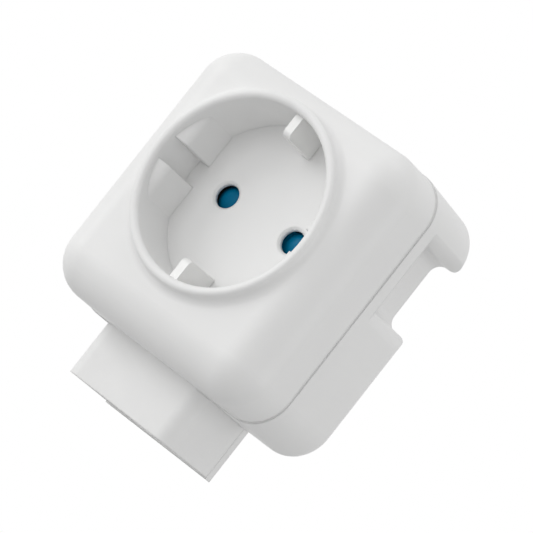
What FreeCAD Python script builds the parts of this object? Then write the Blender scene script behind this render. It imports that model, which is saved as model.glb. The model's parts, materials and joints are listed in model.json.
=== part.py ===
import FreeCAD, Part
import math
import os
import Sketcher

# A plug-through powerline adapter: a round mains socket in front, a mains plug behind, a network
# port underneath. +X is to the right seen from the front, +Y runs into the wall along the plug,
# +Z is up. The origin is the middle of the plug's face, between its two pins. Millimetres.

SIZES = {
    # casing
    "side_room": 6.85,         # from the collar to the casing's side
    "top_room": 3.75,          # from the collar to the casing's top
    "body_below": 33.3,        # socket axis to the bottom
    "corner_round": 8.4,
    "face_round": 7.8,
    "front_deep": 16.3,        # seam to the front face
    "rear_deep": 19.9,         # seam to the rear plane
    "rear_top_drop": 0.9,      # the rear shell's top falls this much towards the rear
    "rear_step": 0.2,          # the rear shell is this much larger all round
    "rear_round": 3.0,
    "wall": 2.0,
    "seam_gap": 0.3,
    "tongue_deep": 1.5,
    "tongue_thick": 0.9,
    "tongue_clear": 0.1,
    # finger scoops in both sides, measured from the socket axis
    "scoop_top": 15.4,
    "scoop_bottom": 0.6,       # below the socket axis
    "scoop_deep": 6.6,
    "scoop_behind_seam": 3.4,
    "scoop_inner_round": 2.6,
    "scoop_end_round": 3.2,
    "scoop_outer_round": 3.2,
    # socket
    "socket_rise": 14.9,       # plug axis to socket axis
    "collar_rise": 2.3,
    "collar_thick": 1.95,
    "collar_blend": 1.7,
    "collar_round": 0.7,
    "recess_r": 19.8,
    "recess_deep": 13.0,
    "rim_round": 1.0,
    "cup_wall": 1.6,
    "floor_thick": 1.2,
    "cheek_x": 17.05,
    "cheek_top": 1.6,
    "cheek_flat": 3.1,
    "cheek_round": 2.0,
    "channel_half": 2.6,
    "pin_pitch": 19.0,
    "pin_r": 2.4,
    "pin_hole_r": 2.57,
    "pin_hole_sink": 0.5,
    # earth contacts of the socket
    "earth_thick": 1.9,
    "earth_from_cover": 0.6,
    "earth_front": 3.0,
    "earth_round": 1.3,
    "earth_tail": 2.6,
    "slot_clear": 0.1,
    # shutter and its cover
    "shutter_gap": 0.2,
    "shutter_thick": 1.4,
    "shutter_end_r": 3.1,
    "shutter_arm": 4.6,
    "shutter_hub_r": 3.3,
    "pivot_r": 1.2,
    "pivot_clear": 0.06,
    "cover_room": 0.6,         # round the shutter's ends
    "cover_rim": 1.1,
    "cover_thick": 2.0,
    "ear_beyond": 2.7,
    "ear_half": 2.2,
    "stake_r": 1.1,
    "stake_clear": 0.1,
    "spring_mean_r": 2.3,
    "spring_wire_r": 0.17,
    "spring_turns": 2.0,
    "spring_room": 1.4,
    # contacts behind the socket
    "contact_tube_r": 3.3,
    "contact_clear": 0.05,
    "contact_long": 11.5,
    "contact_slit": 1.0,
    "carrier_half_wide": 15.0,
    "carrier_half_high": 5.4,
    # plug
    "plug_r": 18.5,
    "plug_deep": 12.5,
    "plug_edge": 1.0,
    "spigot_r": 13.2,
    "pin_long": 19.0,
    "pin_tip_round": 1.6,
    "pin_shank_r": 2.0,
    "pin_dish_r": 3.7,
    "pin_dish_deep": 0.6,
    "plug_screw_at": 11.6,
    "clip_half": 2.0,
    "clip_thick": 0.6,
    "clip_groove_deep": 2.2,
    "clip_front": 1.2,
    # port box under the rear shell
    "port_in_left": 9.9,       # from the casing's side
    "port_right_room": 1.2,    # beside the status light
    "port_drop": 12.35,
    "port_round": 3.4,
    "port_wall": 1.8,
    "port_cover_thick": 1.9,
    "port_cover_lip": 0.3,
    # network jack, its mouth down
    "jack_wide": 15.4,
    "jack_deep": 16.4,
    "jack_mouth_wide": 11.8,
    "jack_mouth_high": 7.0,
    "jack_latch_wide": 6.0,
    "jack_latch_high": 1.6,
    "jack_cavity": 12.6,
    "jack_front_wall": 1.5,
    "jack_side_gap": 0.6,
    "shield_thick": 0.3,
    "mouth_margin": 0.4,
    "jack_wire": 0.45,
    "jack_wire_pitch": 1.02,
    # pairing button and its switch
    "button_from_jack": 5.3,
    "button_y": -24.2,
    "button_half": 2.3,
    "button_round": 0.9,
    "button_sink": 0.1,
    "button_clear": 0.25,
    "button_flange": 0.6,
    "button_flange_thick": 1.0,
    "button_stem": 2.6,
    "button_travel": 0.8,
    "switch_half": 2.6,
    "switch_high": 4.4,
    "plunger_r": 1.1,
    "plunger_out": 1.3,
    "led_from_button": 3.6,
    "guide_r": 0.8,
    "guide_clear": 0.1,
    "guide_long": 8.0,
    "led_high": 2.6,
    # board
    "board_thick": 1.6,
    "board_stand": 2.1,
    "board_clear": 0.6,
    "post_r": 2.6,
    "part_gap": 0.8,
    # screws
    "column_r": 3.3,
    "screw_r": 1.4,
    "screw_head_r": 2.6,
    "screw_head": 1.9,
    "screw_long": 13.0,
    "screw_clear": 0.05,
    "head_clear": 0.2,
    "column_web": 5.6,
    "column_low": 6.6,         # above the casing's bottom
    "column_high": 5.9,        # under the casing's top
    "column_in_low": 7.0,
    "column_in_high": 8.6,
    "small_screw_r": 1.0,
    "small_head_r": 1.9,
    "small_head": 1.2,
    "small_screw_long": 6.0,
    # parts on the board
    "transformer_wide": 12.5,
    "transformer_high": 12.5,
    "transformer_tall": 13.0,
    "core_leg": 3.0,
    "core_end": 2.6,
    "bulk_r": 3.3,
    "bulk_tall": 12.5,
    "film_wide": 5.5,
    "film_high": 12.5,
    "film_tall": 10.5,
    "choke_r": 4.9,
    "choke_hole_r": 2.2,
    "choke_tall": 6.0,
    "choke_wire": 0.7,
    "fuse_r": 2.0,
    "fuse_tall": 8.5,
    "varistor_r": 3.6,
    "varistor_thick": 3.0,
    "rectifier_wide": 4.7,
    "rectifier_high": 3.8,
    "rectifier_tall": 2.4,
    "chip_side": 10.0,
    "chip_tall": 1.0,
    "sink_tall": 6.0,
    "sink_base": 1.4,
    "sink_fin": 0.9,
    "magnetics_wide": 11.5,
    "magnetics_high": 6.5,
    "magnetics_tall": 5.2,
    "coupler_side": 6.6,
    "coupler_tall": 6.5,
    "memory_wide": 4.9,
    "memory_high": 3.9,
    "memory_tall": 1.6,
    "crystal_wide": 4.6,
    "crystal_high": 3.4,
    "crystal_tall": 1.2,
}

doc = FreeCAD.newDocument("powerline_adapter")
sheet = doc.addObject("Spreadsheet::Sheet", "Sizes")
for row, (word, number) in enumerate(SIZES.items(), start=1):
    sheet.set(f"A{row}", word)
    sheet.set(f"B{row}", str(number))
    sheet.setAlias(f"B{row}", word)
doc.recompute()


class Size:
    """A length: its number now, and the formula that the document keeps for it."""

    def __init__(self, number, formula):
        self.number = float(number)
        self.formula = formula

    def __add__(self, other):
        other = as_size(other)
        return Size(self.number + other.number, f"({self.formula} + {other.formula})")

    def __sub__(self, other):
        other = as_size(other)
        return Size(self.number - other.number, f"({self.formula} - {other.formula})")

    def __mul__(self, factor):
        return Size(self.number * factor, f"({self.formula} * {factor!r})")

    def __truediv__(self, factor):
        return Size(self.number / factor, f"({self.formula} / {factor!r})")

    def __neg__(self):
        return Size(-self.number, f"(0 - {self.formula})")

    def __radd__(self, other):
        return as_size(other) + self

    def __rsub__(self, other):
        return as_size(other) - self


def as_size(value):
    return value if isinstance(value, Size) else Size(value, f"({float(value)!r})")


class Named:
    """Every size of the sheet under its own word."""


s = Named()
for word in SIZES:
    setattr(s, word, Size(sheet.get(word), f"Sizes.{word}"))

# Planes and places that several pieces share.
ZERO = as_size(0)
collar_r = s.recess_r + s.collar_thick
half_wide = collar_r + s.side_room
rear_y = -s.plug_deep
seam_y = rear_y - s.rear_deep
face_y = seam_y - s.front_deep
rim_y = face_y - s.collar_rise
floor_y = rim_y + s.recess_deep
floor_back_y = floor_y + s.floor_thick
shutter_y = floor_back_y + s.shutter_gap
shutter_back_y = shutter_y + s.shutter_thick
cover_y = shutter_back_y + s.shutter_gap
cover_back_y = cover_y + s.cover_thick
rear_inner_y = rear_y - s.wall
board_back_y = rear_inner_y - s.board_stand
board_y = board_back_y - s.board_thick
top_z = s.socket_rise + collar_r + s.top_room
bottom_z = s.socket_rise - s.body_below
port_bottom_z = bottom_z - s.port_drop
port_floor_z = port_bottom_z + s.port_wall
port_front_y = seam_y + s.port_wall
inner_half = half_wide - s.wall
scoop_wall_x = half_wide - s.scoop_deep
scoop_y = seam_y + s.scoop_behind_seam
scoop_low_z = s.socket_rise - s.scoop_bottom
scoop_high_z = s.socket_rise + s.scoop_top
pin_at = s.pin_pitch / 2
column_low_z = bottom_z + s.column_low
column_high_z = top_z - s.column_high
COLUMNS = [
    (half_wide - s.column_in_low, column_low_z),
    (-(half_wide - s.column_in_low), column_low_z),
    (half_wide - s.column_in_high, column_high_z),
    (-(half_wide - s.column_in_high), column_high_z),
]
cover_r = pin_at + s.shutter_end_r + s.cover_room + s.cover_rim
ear_out = cover_r + s.ear_beyond
port_left_x = -(half_wide - s.port_in_left)
jack_left = port_left_x + s.port_wall + s.jack_side_gap
jack_right = jack_left + s.jack_wide
button_x = jack_right + s.button_from_jack
led_x = button_x + s.led_from_button
port_right_x = led_x + s.guide_r + s.port_right_room + s.port_wall
jack_middle = (jack_left + jack_right) / 2
jack_top_z = port_floor_z + s.jack_deep
jack_front_y = port_front_y + s.jack_side_gap

pieces = []


# Helpers

def bind(thing, prop, size):
    thing.setExpression(prop, as_size(size).formula)


def place(thing, x, y, z):
    bind(thing, "Placement.Base.x", x)
    bind(thing, "Placement.Base.y", y)
    bind(thing, "Placement.Base.z", z)
    return thing


def turned(axis):
    """The turn that takes +Z to the named axis."""
    turns = {
        "X": FreeCAD.Rotation(FreeCAD.Vector(0, 1, 0), 90),
        "Y": FreeCAD.Rotation(FreeCAD.Vector(1, 0, 0), -90),
        "Z": FreeCAD.Rotation(),
    }
    return FreeCAD.Placement(FreeCAD.Vector(), turns[axis])


def box(name, x, y, z):
    """A block between the low and high values of x, y and z."""
    solid = doc.addObject("Part::Box", name)
    bind(solid, "Length", as_size(x[1]) - x[0])
    bind(solid, "Width", as_size(y[1]) - y[0])
    bind(solid, "Height", as_size(z[1]) - z[0])
    return place(solid, x[0], y[0], z[0])


def rod(name, radius, axis, start, length):
    """A round rod from its start point, along the axis."""
    solid = doc.addObject("Part::Cylinder", name)
    bind(solid, "Radius", radius)
    bind(solid, "Height", length)
    solid.Placement = turned(axis)
    return place(solid, *start)


def taper(name, radius, end_radius, axis, start, length):
    """A round taper from its start point, along the axis."""
    solid = doc.addObject("Part::Cone", name)
    bind(solid, "Radius1", radius)
    bind(solid, "Radius2", end_radius)
    bind(solid, "Height", length)
    solid.Placement = turned(axis)
    return place(solid, *start)


def join(name, parts):
    whole = doc.addObject("Part::MultiFuse", name)
    whole.Shapes = parts
    return whole


def cut(name, base, tools):
    rest = doc.addObject("Part::Cut", name)
    rest.Base = base
    rest.Tool = tools[0] if len(tools) == 1 else join(name + "_tools", tools)
    return rest


def common(name, one, other):
    shared = doc.addObject("Part::MultiCommon", name)
    shared.Shapes = [one, other]
    return shared


def group(name, parts):
    """Separate solids in one node."""
    together = doc.addObject("Part::Compound", name)
    together.Links = parts
    return together


def keep(node, thing):
    """Names a finished piece."""
    thing.Label = node
    pieces.append((node, thing))
    return thing


def soften(name, base, radius, chosen):
    """Rounds the edges for which chosen is true."""
    doc.recompute()
    rounded = doc.addObject("Part::Fillet", name)
    rounded.Base = base
    numbers = [i for i, edge in enumerate(base.Shape.Edges, start=1) if chosen(edge)]
    if not numbers:
        raise RuntimeError(f"{name}: no edge to round")
    rounded.Edges = [(i, radius.number, radius.number) for i in numbers]
    return rounded


def near(value, size):
    return abs(value - as_size(size).number) < 0.01


def lies(edge, axis, size):
    """True when the whole edge lies in the plane where axis equals size."""
    box_of_edge = edge.BoundBox
    low = getattr(box_of_edge, axis + "Min")
    high = getattr(box_of_edge, axis + "Max")
    return near(low, size) and near(high, size)


def runs(edge, axis):
    """True for a straight edge along the axis."""
    spans = {word: getattr(edge.BoundBox, word + "Length") for word in "XYZ"}
    along = spans.pop(axis)
    return along > 0.1 and max(spans.values()) < 0.01


def circles(edge, radius):
    """True for an edge that keeps this distance from the socket's axis."""
    points = edge.discretize(5)
    spans = [math.hypot(point.x, point.z - s.socket_rise.number) for point in points]
    return all(near(span, radius) for span in spans) and edge.BoundBox.DiagonalLength > 1


def origin_plane(body, role):
    for feature in body.Origin.OriginFeatures:
        if feature.Role == role:
            return feature
    raise ValueError(role)


def step_to(here, there):
    return (there > here) - (there < here)


def outline(body, name, plane, corners, offset):
    """A closed outline of sides along the sketch's axes, each corner with its own radius."""
    sketch = body.newObject("Sketcher::SketchObject", name)
    sketch.AttachmentSupport = [(origin_plane(body, plane + "_Plane"), "")]
    sketch.MapMode = "FlatFace"
    bind(sketch, "AttachmentOffset.Base.z", offset)
    count = len(corners)
    ends = []
    arcs = []
    for i, (x, z, radius) in enumerate(corners):
        before = corners[i - 1]
        after = corners[(i + 1) % count]
        along_x = abs(before[0].number - x.number) > 1e-6
        other_x, other_z = (before, after) if along_x else (after, before)
        way_x = step_to(x.number, other_x[0].number)
        way_z = step_to(z.number, other_z[1].number)
        middle = (x + radius * way_x, z + radius * way_z)
        on_x_side = (middle[0].number, z.number)
        on_z_side = (x.number, middle[1].number)
        ends.append((on_x_side, on_z_side) if along_x else (on_z_side, on_x_side))
        arcs.append((middle, radius))
    sides = []
    for i in range(count):
        start = FreeCAD.Vector(*ends[i][1], 0)
        stop = FreeCAD.Vector(*ends[(i + 1) % count][0], 0)
        sides.append(sketch.addGeometry(Part.LineSegment(start, stop), False))

    def pin_down(geometry, point, place_x, place_z):
        for kind, value in (("DistanceX", place_x), ("DistanceY", place_z)):
            number = sketch.addConstraint(
                Sketcher.Constraint(kind, -1, 1, geometry, point, value.number))
            sketch.setExpression(f"Constraints[{number}]", value.formula)

    for i, (middle, radius) in enumerate(arcs):
        incoming, outgoing = sides[i - 1], sides[i]
        if radius.number == 0:
            sketch.addConstraint(Sketcher.Constraint("Coincident", incoming, 2, outgoing, 1))
            pin_down(outgoing, 1, middle[0], middle[1])
            continue
        centre = FreeCAD.Vector(middle[0].number, middle[1].number, 0)
        into = math.atan2(ends[i][0][1] - centre.y, ends[i][0][0] - centre.x)
        out = math.atan2(ends[i][1][1] - centre.y, ends[i][1][0] - centre.x)
        left_turn = math.sin(out - into) > 0
        first, last = (into, out) if left_turn else (out, into)
        circle = Part.Circle(centre, FreeCAD.Vector(0, 0, 1), radius.number)
        arc = sketch.addGeometry(Part.ArcOfCircle(circle, first, last), False)
        sketch.addConstraint(Sketcher.Constraint("Tangent", incoming, 2, arc, 1 if left_turn else 2))
        sketch.addConstraint(Sketcher.Constraint("Tangent", arc, 2 if left_turn else 1, outgoing, 1))
        number = sketch.addConstraint(Sketcher.Constraint("Radius", arc, radius.number))
        sketch.setExpression(f"Constraints[{number}]", radius.formula)
        pin_down(arc, 3, middle[0], middle[1])
    return sketch


def rectangle(x, z, radius):
    """Corners of a rectangle, counterclockwise, all with one radius."""
    radius = as_size(radius)
    low_x, high_x = as_size(x[0]), as_size(x[1])
    low_z, high_z = as_size(z[0]), as_size(z[1])
    return [(low_x, low_z, radius), (high_x, low_z, radius),
            (high_x, high_z, radius), (low_x, high_z, radius)]


def plate(name, plane, corners, low, high):
    """A body padded from an outline, between low and high along the plane's normal axis."""
    body = doc.addObject("PartDesign::Body", name)
    # the XZ plane looks along -Y, so its outline sits at the high end
    offset = -as_size(high) if plane == "XZ" else as_size(low)
    sketch = outline(body, name + "_outline", plane, corners, offset)
    pad = body.newObject("PartDesign::Pad", name + "_pad")
    pad.Profile = sketch
    bind(pad, "Length", as_size(high) - low)
    sketch.Visibility = False
    return body


def sloped_block(name, inset, corner, rear, edge_round):
    """The rear shell's form, pulled in by inset: its top falls towards the rear."""
    low_z = bottom_z + inset
    high_z = top_z - inset
    block = plate(name, "YZ", [
        (seam_y, low_z, ZERO), (rear, low_z, ZERO),
        (rear, high_z - s.rear_top_drop, ZERO), (seam_y, high_z, ZERO)],
        -half_wide + inset, half_wide - inset)
    block = soften(name + "_corners", block, corner, lambda e: e.BoundBox.XLength < 0.01 and
                   e.BoundBox.YLength > s.rear_deep.number / 2)
    return soften(name + "_rounded", block, edge_round, lambda e: lies(e, "Y", rear))


def casing_corners(inset, radius):
    """The casing's outline at the seam, pulled in by inset."""
    return rectangle((-half_wide + inset, half_wide - inset),
                     (bottom_z + inset, top_z - inset), radius)


# Casing

def make_front_shell():
    outer = plate("front_block", "XZ", casing_corners(ZERO, s.corner_round),
                  face_y, seam_y - s.seam_gap)
    outer = soften("front_block_rounded", outer, s.face_round, lambda e: lies(e, "Y", face_y))
    hollow = plate("front_hollow", "XZ", casing_corners(s.wall, s.corner_round - s.wall),
                   face_y + s.wall, seam_y)
    hollow = soften("front_hollow_rounded", hollow, s.face_round - s.wall,
                    lambda e: lies(e, "Y", face_y + s.wall))
    shell = cut("front_wall", outer, [hollow])

    tongue_out = s.wall - s.tongue_thick
    tongue_start = seam_y - s.seam_gap - s.wall
    tongue = cut("front_tongue", plate(
        "front_tongue_block", "XZ", casing_corners(tongue_out, s.corner_round - tongue_out),
        tongue_start, seam_y + s.tongue_deep), [plate(
            "front_tongue_hollow", "XZ", casing_corners(s.wall, s.corner_round - s.wall),
            tongue_start, seam_y + s.tongue_deep)])

    axis = (ZERO, ZERO, s.socket_rise)
    cup = rod("front_cup", s.recess_r + s.cup_wall, "Y", (axis[0], face_y, axis[2]),
              floor_back_y - face_y)
    collar = rod("front_collar", collar_r, "Y", (axis[0], rim_y, axis[2]), s.collar_rise + s.wall)
    bosses = []
    for i, (x, z) in enumerate(COLUMNS):
        boss = rod(f"front_boss_{i}", s.column_r, "Y", (x, face_y + s.wall / 2, z),
                   s.front_deep - s.wall / 2)
        bosses.append(common(f"front_boss_inside_{i}", boss, outer))
    pivot = rod("front_pivot", s.pivot_r, "Y", (axis[0], floor_y + s.floor_thick / 2, axis[2]),
                cover_y + s.cover_thick - s.spring_room / 2 - floor_y - s.floor_thick / 2)
    stakes = []
    for side in (-1, 1):
        stakes.append(rod(f"front_stake_{side + 1}", s.stake_r, "Y",
                          ((ear_out - s.stake_r * 1.4) * side, floor_y + s.floor_thick / 2, axis[2]),
                          cover_y + s.cover_thick + s.stake_r * 0.6 - floor_y - s.floor_thick / 2))
    solid = join("front_solid", [shell, tongue, cup, collar] + bosses)
    base_edge = soften("front_collar_blend", solid, s.collar_blend,
                       lambda e: circles(e, collar_r) and e.BoundBox.YMin > rim_y.number + 0.1)
    rim_edge = soften("front_collar_round", base_edge, s.collar_round,
                      lambda e: circles(e, collar_r) and lies(e, "Y", rim_y))

    recess = rod("recess_space", s.recess_r, "Y", (axis[0], rim_y, axis[2]), s.recess_deep)
    cheeks = []
    for side in (-1, 1):
        cheeks.append(make_cheek(side))
    space = cut("recess_with_cheeks", recess, cheeks)
    holes = []
    for side in (-1, 1):
        hole_x = pin_at * side
        holes.append(rod(f"pin_hole_{side + 1}", s.pin_hole_r, "Y",
                         (hole_x, floor_y, axis[2]), s.floor_thick))
        holes.append(taper(f"pin_hole_sink_{side + 1}", s.pin_hole_r + s.pin_hole_sink, s.pin_hole_r,
                           "Y", (hole_x, floor_y, axis[2]), s.pin_hole_sink))
    slots = []
    for side in (-1, 1):
        slots.append(earth_outline(f"earth_slot_{side + 1}", side, s.slot_clear))
    pilots = []
    for i, (x, z) in enumerate(COLUMNS):
        pilots.append(rod(f"front_pilot_{i}", s.screw_r + s.screw_clear, "Y",
                          (x, seam_y - s.screw_long + s.column_web, z), s.screw_long - s.column_web))
    shell = cut("front_opened", rim_edge, [space] + holes + slots + pilots)
    shell = soften("front_mouth_round", shell, s.rim_round,
                   lambda e: circles(e, s.recess_r) and lies(e, "Y", rim_y))
    return keep("front_shell", join("front_whole", [shell, pivot] + stakes))


def make_cheek(side):
    """A flat cheek beside the recess, sloped and rounded at its front and split by a channel."""
    flat_y = rim_y + s.cheek_flat
    body = doc.addObject("PartDesign::Body", f"cheek_{side + 1}")
    sketch = body.newObject("Sketcher::SketchObject", f"cheek_outline_{side + 1}")
    sketch.AttachmentSupport = [(origin_plane(body, "XY_Plane"), "")]
    sketch.MapMode = "FlatFace"
    bind(sketch, "AttachmentOffset.Base.z", s.socket_rise - s.recess_r)
    far_x = (s.recess_r + s.cup_wall / 2) * side
    near_x = s.cheek_x * side
    points = [(near_x, floor_y), (near_x, flat_y), (s.recess_r * side, rim_y + s.cheek_top),
              (far_x, rim_y + s.cheek_top), (far_x, floor_y)]
    for i, (x, y) in enumerate(points):
        after = points[(i + 1) % len(points)]
        sketch.addGeometry(Part.LineSegment(FreeCAD.Vector(x.number, y.number, 0),
                                            FreeCAD.Vector(after[0].number, after[1].number, 0)), False)
    for i, (x, y) in enumerate(points):
        sketch.addConstraint(Sketcher.Constraint("Coincident", (i - 1) % len(points), 2, i, 1))
        for kind, value in (("DistanceX", x), ("DistanceY", y)):
            number = sketch.addConstraint(Sketcher.Constraint(kind, -1, 1, i, 1, value.number))
            sketch.setExpression(f"Constraints[{number}]", value.formula)
    pad = body.newObject("PartDesign::Pad", f"cheek_pad_{side + 1}")
    pad.Profile = sketch
    bind(pad, "Length", s.recess_r * 2)
    cheek = soften(f"cheek_rounded_{side + 1}", body, s.cheek_round,
                   lambda e: runs(e, "Z") and lies(e, "X", near_x) and lies(e, "Y", flat_y))
    low_x, high_x = sorted((near_x, far_x), key=lambda size: size.number)
    channel = box(f"cheek_channel_{side + 1}", (low_x, high_x), (rim_y, floor_y),
                  (s.socket_rise - s.channel_half, s.socket_rise + s.channel_half))
    return cut(f"cheek_split_{side + 1}", cheek, [channel])


def earth_outline(name, side, margin):
    """The blade of an earth contact and its tail, swollen by margin for the slot it stands in."""
    reach_r = cover_r + s.earth_from_cover
    outer_r = s.recess_r + s.cup_wall / 2
    tail_r = reach_r + s.earth_tail
    half = s.earth_thick / 2 + margin
    end_y = board_back_y - s.part_gap / 2 if margin.number == 0 else floor_back_y

    def span(inner, outer):
        ends = (s.socket_rise + inner * side, s.socket_rise + outer * side)
        return sorted(ends, key=lambda size: size.number)

    blade = box(name + "_blade", (-half, half), (rim_y + s.earth_front - margin, floor_y),
                span(reach_r - margin, outer_r))
    if margin.number == 0:
        tip_z = s.socket_rise + reach_r * side
        blade = soften(name + "_rounded", blade, s.earth_round, lambda e: runs(e, "X") and
                       lies(e, "Y", rim_y + s.earth_front) and lies(e, "Z", tip_z))
    tail = box(name + "_tail", (-half, half), (floor_y, end_y), span(reach_r - margin, tail_r + margin))
    return join(name, [blade, tail])


def scoop_corners(side):
    """A finger scoop seen along Y: rounded inside, and its lips rounded at the casing's side."""
    out_x = half_wide + s.rear_step
    lip = s.scoop_outer_round + s.seam_gap
    beyond = out_x + s.wall
    corners = [
        (scoop_wall_x, scoop_high_z, s.scoop_inner_round),
        (scoop_wall_x, scoop_low_z, s.scoop_inner_round),
        (out_x, scoop_low_z, s.scoop_outer_round),
        (out_x, scoop_low_z - lip, ZERO),
        (beyond, scoop_low_z - lip, ZERO),
        (beyond, scoop_high_z + lip, ZERO),
        (out_x, scoop_high_z + lip, ZERO),
        (out_x, scoop_high_z, s.scoop_outer_round),
    ]
    return [(x * side, z, radius) for x, z, radius in corners]


def make_rear_shell():
    outer = sloped_block("rear_block", -s.rear_step, s.corner_round, rear_y, s.rear_round)
    port = plate("port_block", "XY",
                 [(port_left_x, seam_y, s.port_round), (port_right_x, seam_y, s.port_round),
                  (port_right_x, rear_y - s.port_cover_thick, ZERO),
                  (port_left_x, rear_y - s.port_cover_thick, ZERO)],
                 port_bottom_z, bottom_z + s.wall / 2)
    outer = join("rear_outer", [outer, port])

    hollow = sloped_block("rear_hollow", s.wall, s.corner_round - s.wall, rear_inner_y,
                          s.rear_round - s.wall / 2)
    covers = []
    scoops = []
    for side in (-1, 1):
        low_x, high_x = sorted(((scoop_wall_x - s.wall) * side, half_wide * side),
                               key=lambda size: size.number)
        covers.append(box(f"scoop_wall_{side + 1}", (low_x, high_x), (scoop_y - s.wall, rear_y),
                          (scoop_low_z - s.wall, scoop_high_z + s.wall)))
        scoops.append(make_scoop(side))
    columns = []
    wells = []
    for i, (x, z) in enumerate(COLUMNS):
        columns.append(rod(f"rear_column_{i}", s.column_r, "Y", (x, seam_y, z), s.rear_deep - s.wall / 2))
        wells.append(rod(f"rear_well_{i}", s.screw_head_r + s.head_clear, "Y",
                         (x, seam_y + s.column_web, z), s.rear_deep - s.column_web))
        wells.append(rod(f"rear_hole_{i}", s.screw_r + s.screw_clear, "Y", (x, seam_y, z), s.column_web))
    posts = []
    post_holes = []
    for i, (x, z) in enumerate(BOARD_POSTS):
        posts.append(rod(f"rear_post_{i}", s.post_r, "Y", (x, board_back_y, z), s.board_stand + s.wall / 2))
        post_holes.append(rod(f"rear_post_hole_{i}", s.small_screw_r + s.screw_clear, "Y",
                              (x, board_back_y, z), s.board_stand + s.wall / 2))
    hollow = cut("rear_hollow_left", hollow, covers + columns + posts)
    rebate = cut("rear_rebate", plate(
        "rear_rebate_block", "XZ",
        casing_corners(s.wall - s.tongue_thick - s.tongue_clear,
                       s.corner_round - s.wall + s.tongue_thick + s.tongue_clear),
        seam_y, seam_y + s.tongue_deep), columns)

    port_hollow = box("port_hollow", (port_left_x + s.port_wall, port_right_x - s.port_wall),
                      (port_front_y, rear_y - s.port_cover_thick), (port_floor_z, bottom_z + s.wall / 2))
    port_way = box("port_way", (port_left_x + s.port_wall, port_right_x - s.port_wall),
                   (port_front_y, rear_inner_y), (bottom_z - s.wall / 2, bottom_z + s.wall))
    cavity_y = jack_front_y + s.jack_front_wall
    jack_mouth = box("jack_mouth",
                     (jack_middle - s.jack_mouth_wide / 2 - s.mouth_margin,
                      jack_middle + s.jack_mouth_wide / 2 + s.mouth_margin),
                     (cavity_y - s.mouth_margin,
                      cavity_y + s.jack_mouth_high + s.jack_latch_high + s.mouth_margin),
                     (port_bottom_z, port_floor_z))
    reach = s.button_half + s.button_clear
    button_hole = plate("button_hole", "XY", rectangle(
        (button_x - reach, button_x + reach), (s.button_y - reach, s.button_y + reach),
        s.button_round + s.button_clear), port_bottom_z, port_floor_z)
    guide_hole = rod("guide_hole", s.guide_r + s.guide_clear, "Z", (led_x, guide_y, port_bottom_z),
                     s.port_wall)
    spigot_hole = rod("spigot_hole", s.spigot_r + s.slot_clear, "Y", (ZERO, rear_inner_y, ZERO), s.wall)
    clip_slots = []
    screw_holes = []
    for side in (-1, 1):
        low_x, high_x = clip_tail_span(side, s.slot_clear)
        clip_slots.append(box(f"clip_slot_{side + 1}", (low_x, high_x), (rear_inner_y, rear_y),
                              (-s.clip_half - s.slot_clear, s.clip_half + s.slot_clear)))
        screw_holes.append(rod(f"plug_screw_way_{side + 1}", s.small_screw_r + s.screw_clear, "Y",
                               (s.plug_screw_at * side, rear_inner_y, s.plug_screw_at * side), s.wall))
    shell = cut("rear_opened", outer, scoops + [hollow, rebate, port_hollow, port_way, jack_mouth,
                button_hole, guide_hole, spigot_hole] + clip_slots + screw_holes + wells + post_holes)
    return keep("rear_shell", shell)


def make_scoop(side):
    """The space of a finger scoop: its outline seen along Y, shared with its plan seen along Z."""
    lip = s.scoop_outer_round + s.seam_gap
    along = plate(f"scoop_{side + 1}", "XZ", scoop_corners(side), scoop_y, rear_y + s.wall)
    beyond = (half_wide + s.rear_step + s.wall) * side
    inner = scoop_wall_x * side
    plan = plate(f"scoop_plan_{side + 1}", "XY", [
        (inner, scoop_y, s.scoop_end_round), (beyond, scoop_y, ZERO),
        (beyond, rear_y + s.wall, ZERO), (inner, rear_y + s.wall, ZERO)],
        scoop_low_z - lip, scoop_high_z + lip)
    return common(f"scoop_rounded_{side + 1}", along, plan)


def make_port_cover():
    plate_body = plate("port_cover_plate", "XZ", rectangle(
        (port_left_x, port_right_x), (port_bottom_z - s.port_cover_lip, bottom_z - s.slot_clear), ZERO),
        rear_y - s.port_cover_thick, rear_y)
    plug = box("port_cover_plug",
               (port_left_x + s.port_wall + s.slot_clear, port_right_x - s.port_wall - s.slot_clear),
               (rear_y - s.port_cover_thick - s.tongue_thick, rear_y - s.port_cover_thick),
               (port_floor_z + s.slot_clear, bottom_z - s.slot_clear))
    return keep("port_cover", join("port_cover_whole", [plate_body, plug]))


# Socket

def make_socket_earths():
    for node, side in (("socket_earth_upper", 1), ("socket_earth_lower", -1)):
        keep(node, earth_outline(node + "_strip", side, ZERO))


def make_shutter():
    axis_z = s.socket_rise
    hub = rod("shutter_hub", s.shutter_hub_r, "Y", (ZERO, shutter_y, axis_z), s.shutter_thick)
    arm = box("shutter_bar", (-pin_at, pin_at), (shutter_y + s.shutter_thick / 3, shutter_back_y),
              (axis_z - s.shutter_arm / 2, axis_z + s.shutter_arm / 2))
    parts = [hub, arm]
    for side in (-1, 1):
        parts.append(rod(f"shutter_pad_{side + 1}", s.shutter_end_r, "Y",
                         (pin_at * side, shutter_y + s.shutter_thick / 3, axis_z),
                         s.shutter_thick * (2 / 3)))
        parts.append(taper(f"shutter_crown_{side + 1}", s.shutter_end_r * 0.55, s.shutter_end_r, "Y",
                           (pin_at * side, shutter_y, axis_z), s.shutter_thick / 3))
    bore = rod("shutter_bore", s.pivot_r + s.pivot_clear, "Y", (ZERO, shutter_y, axis_z), s.shutter_thick)
    return keep("shutter", cut("shutter_whole", join("shutter_solid", parts), [bore]))


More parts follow.
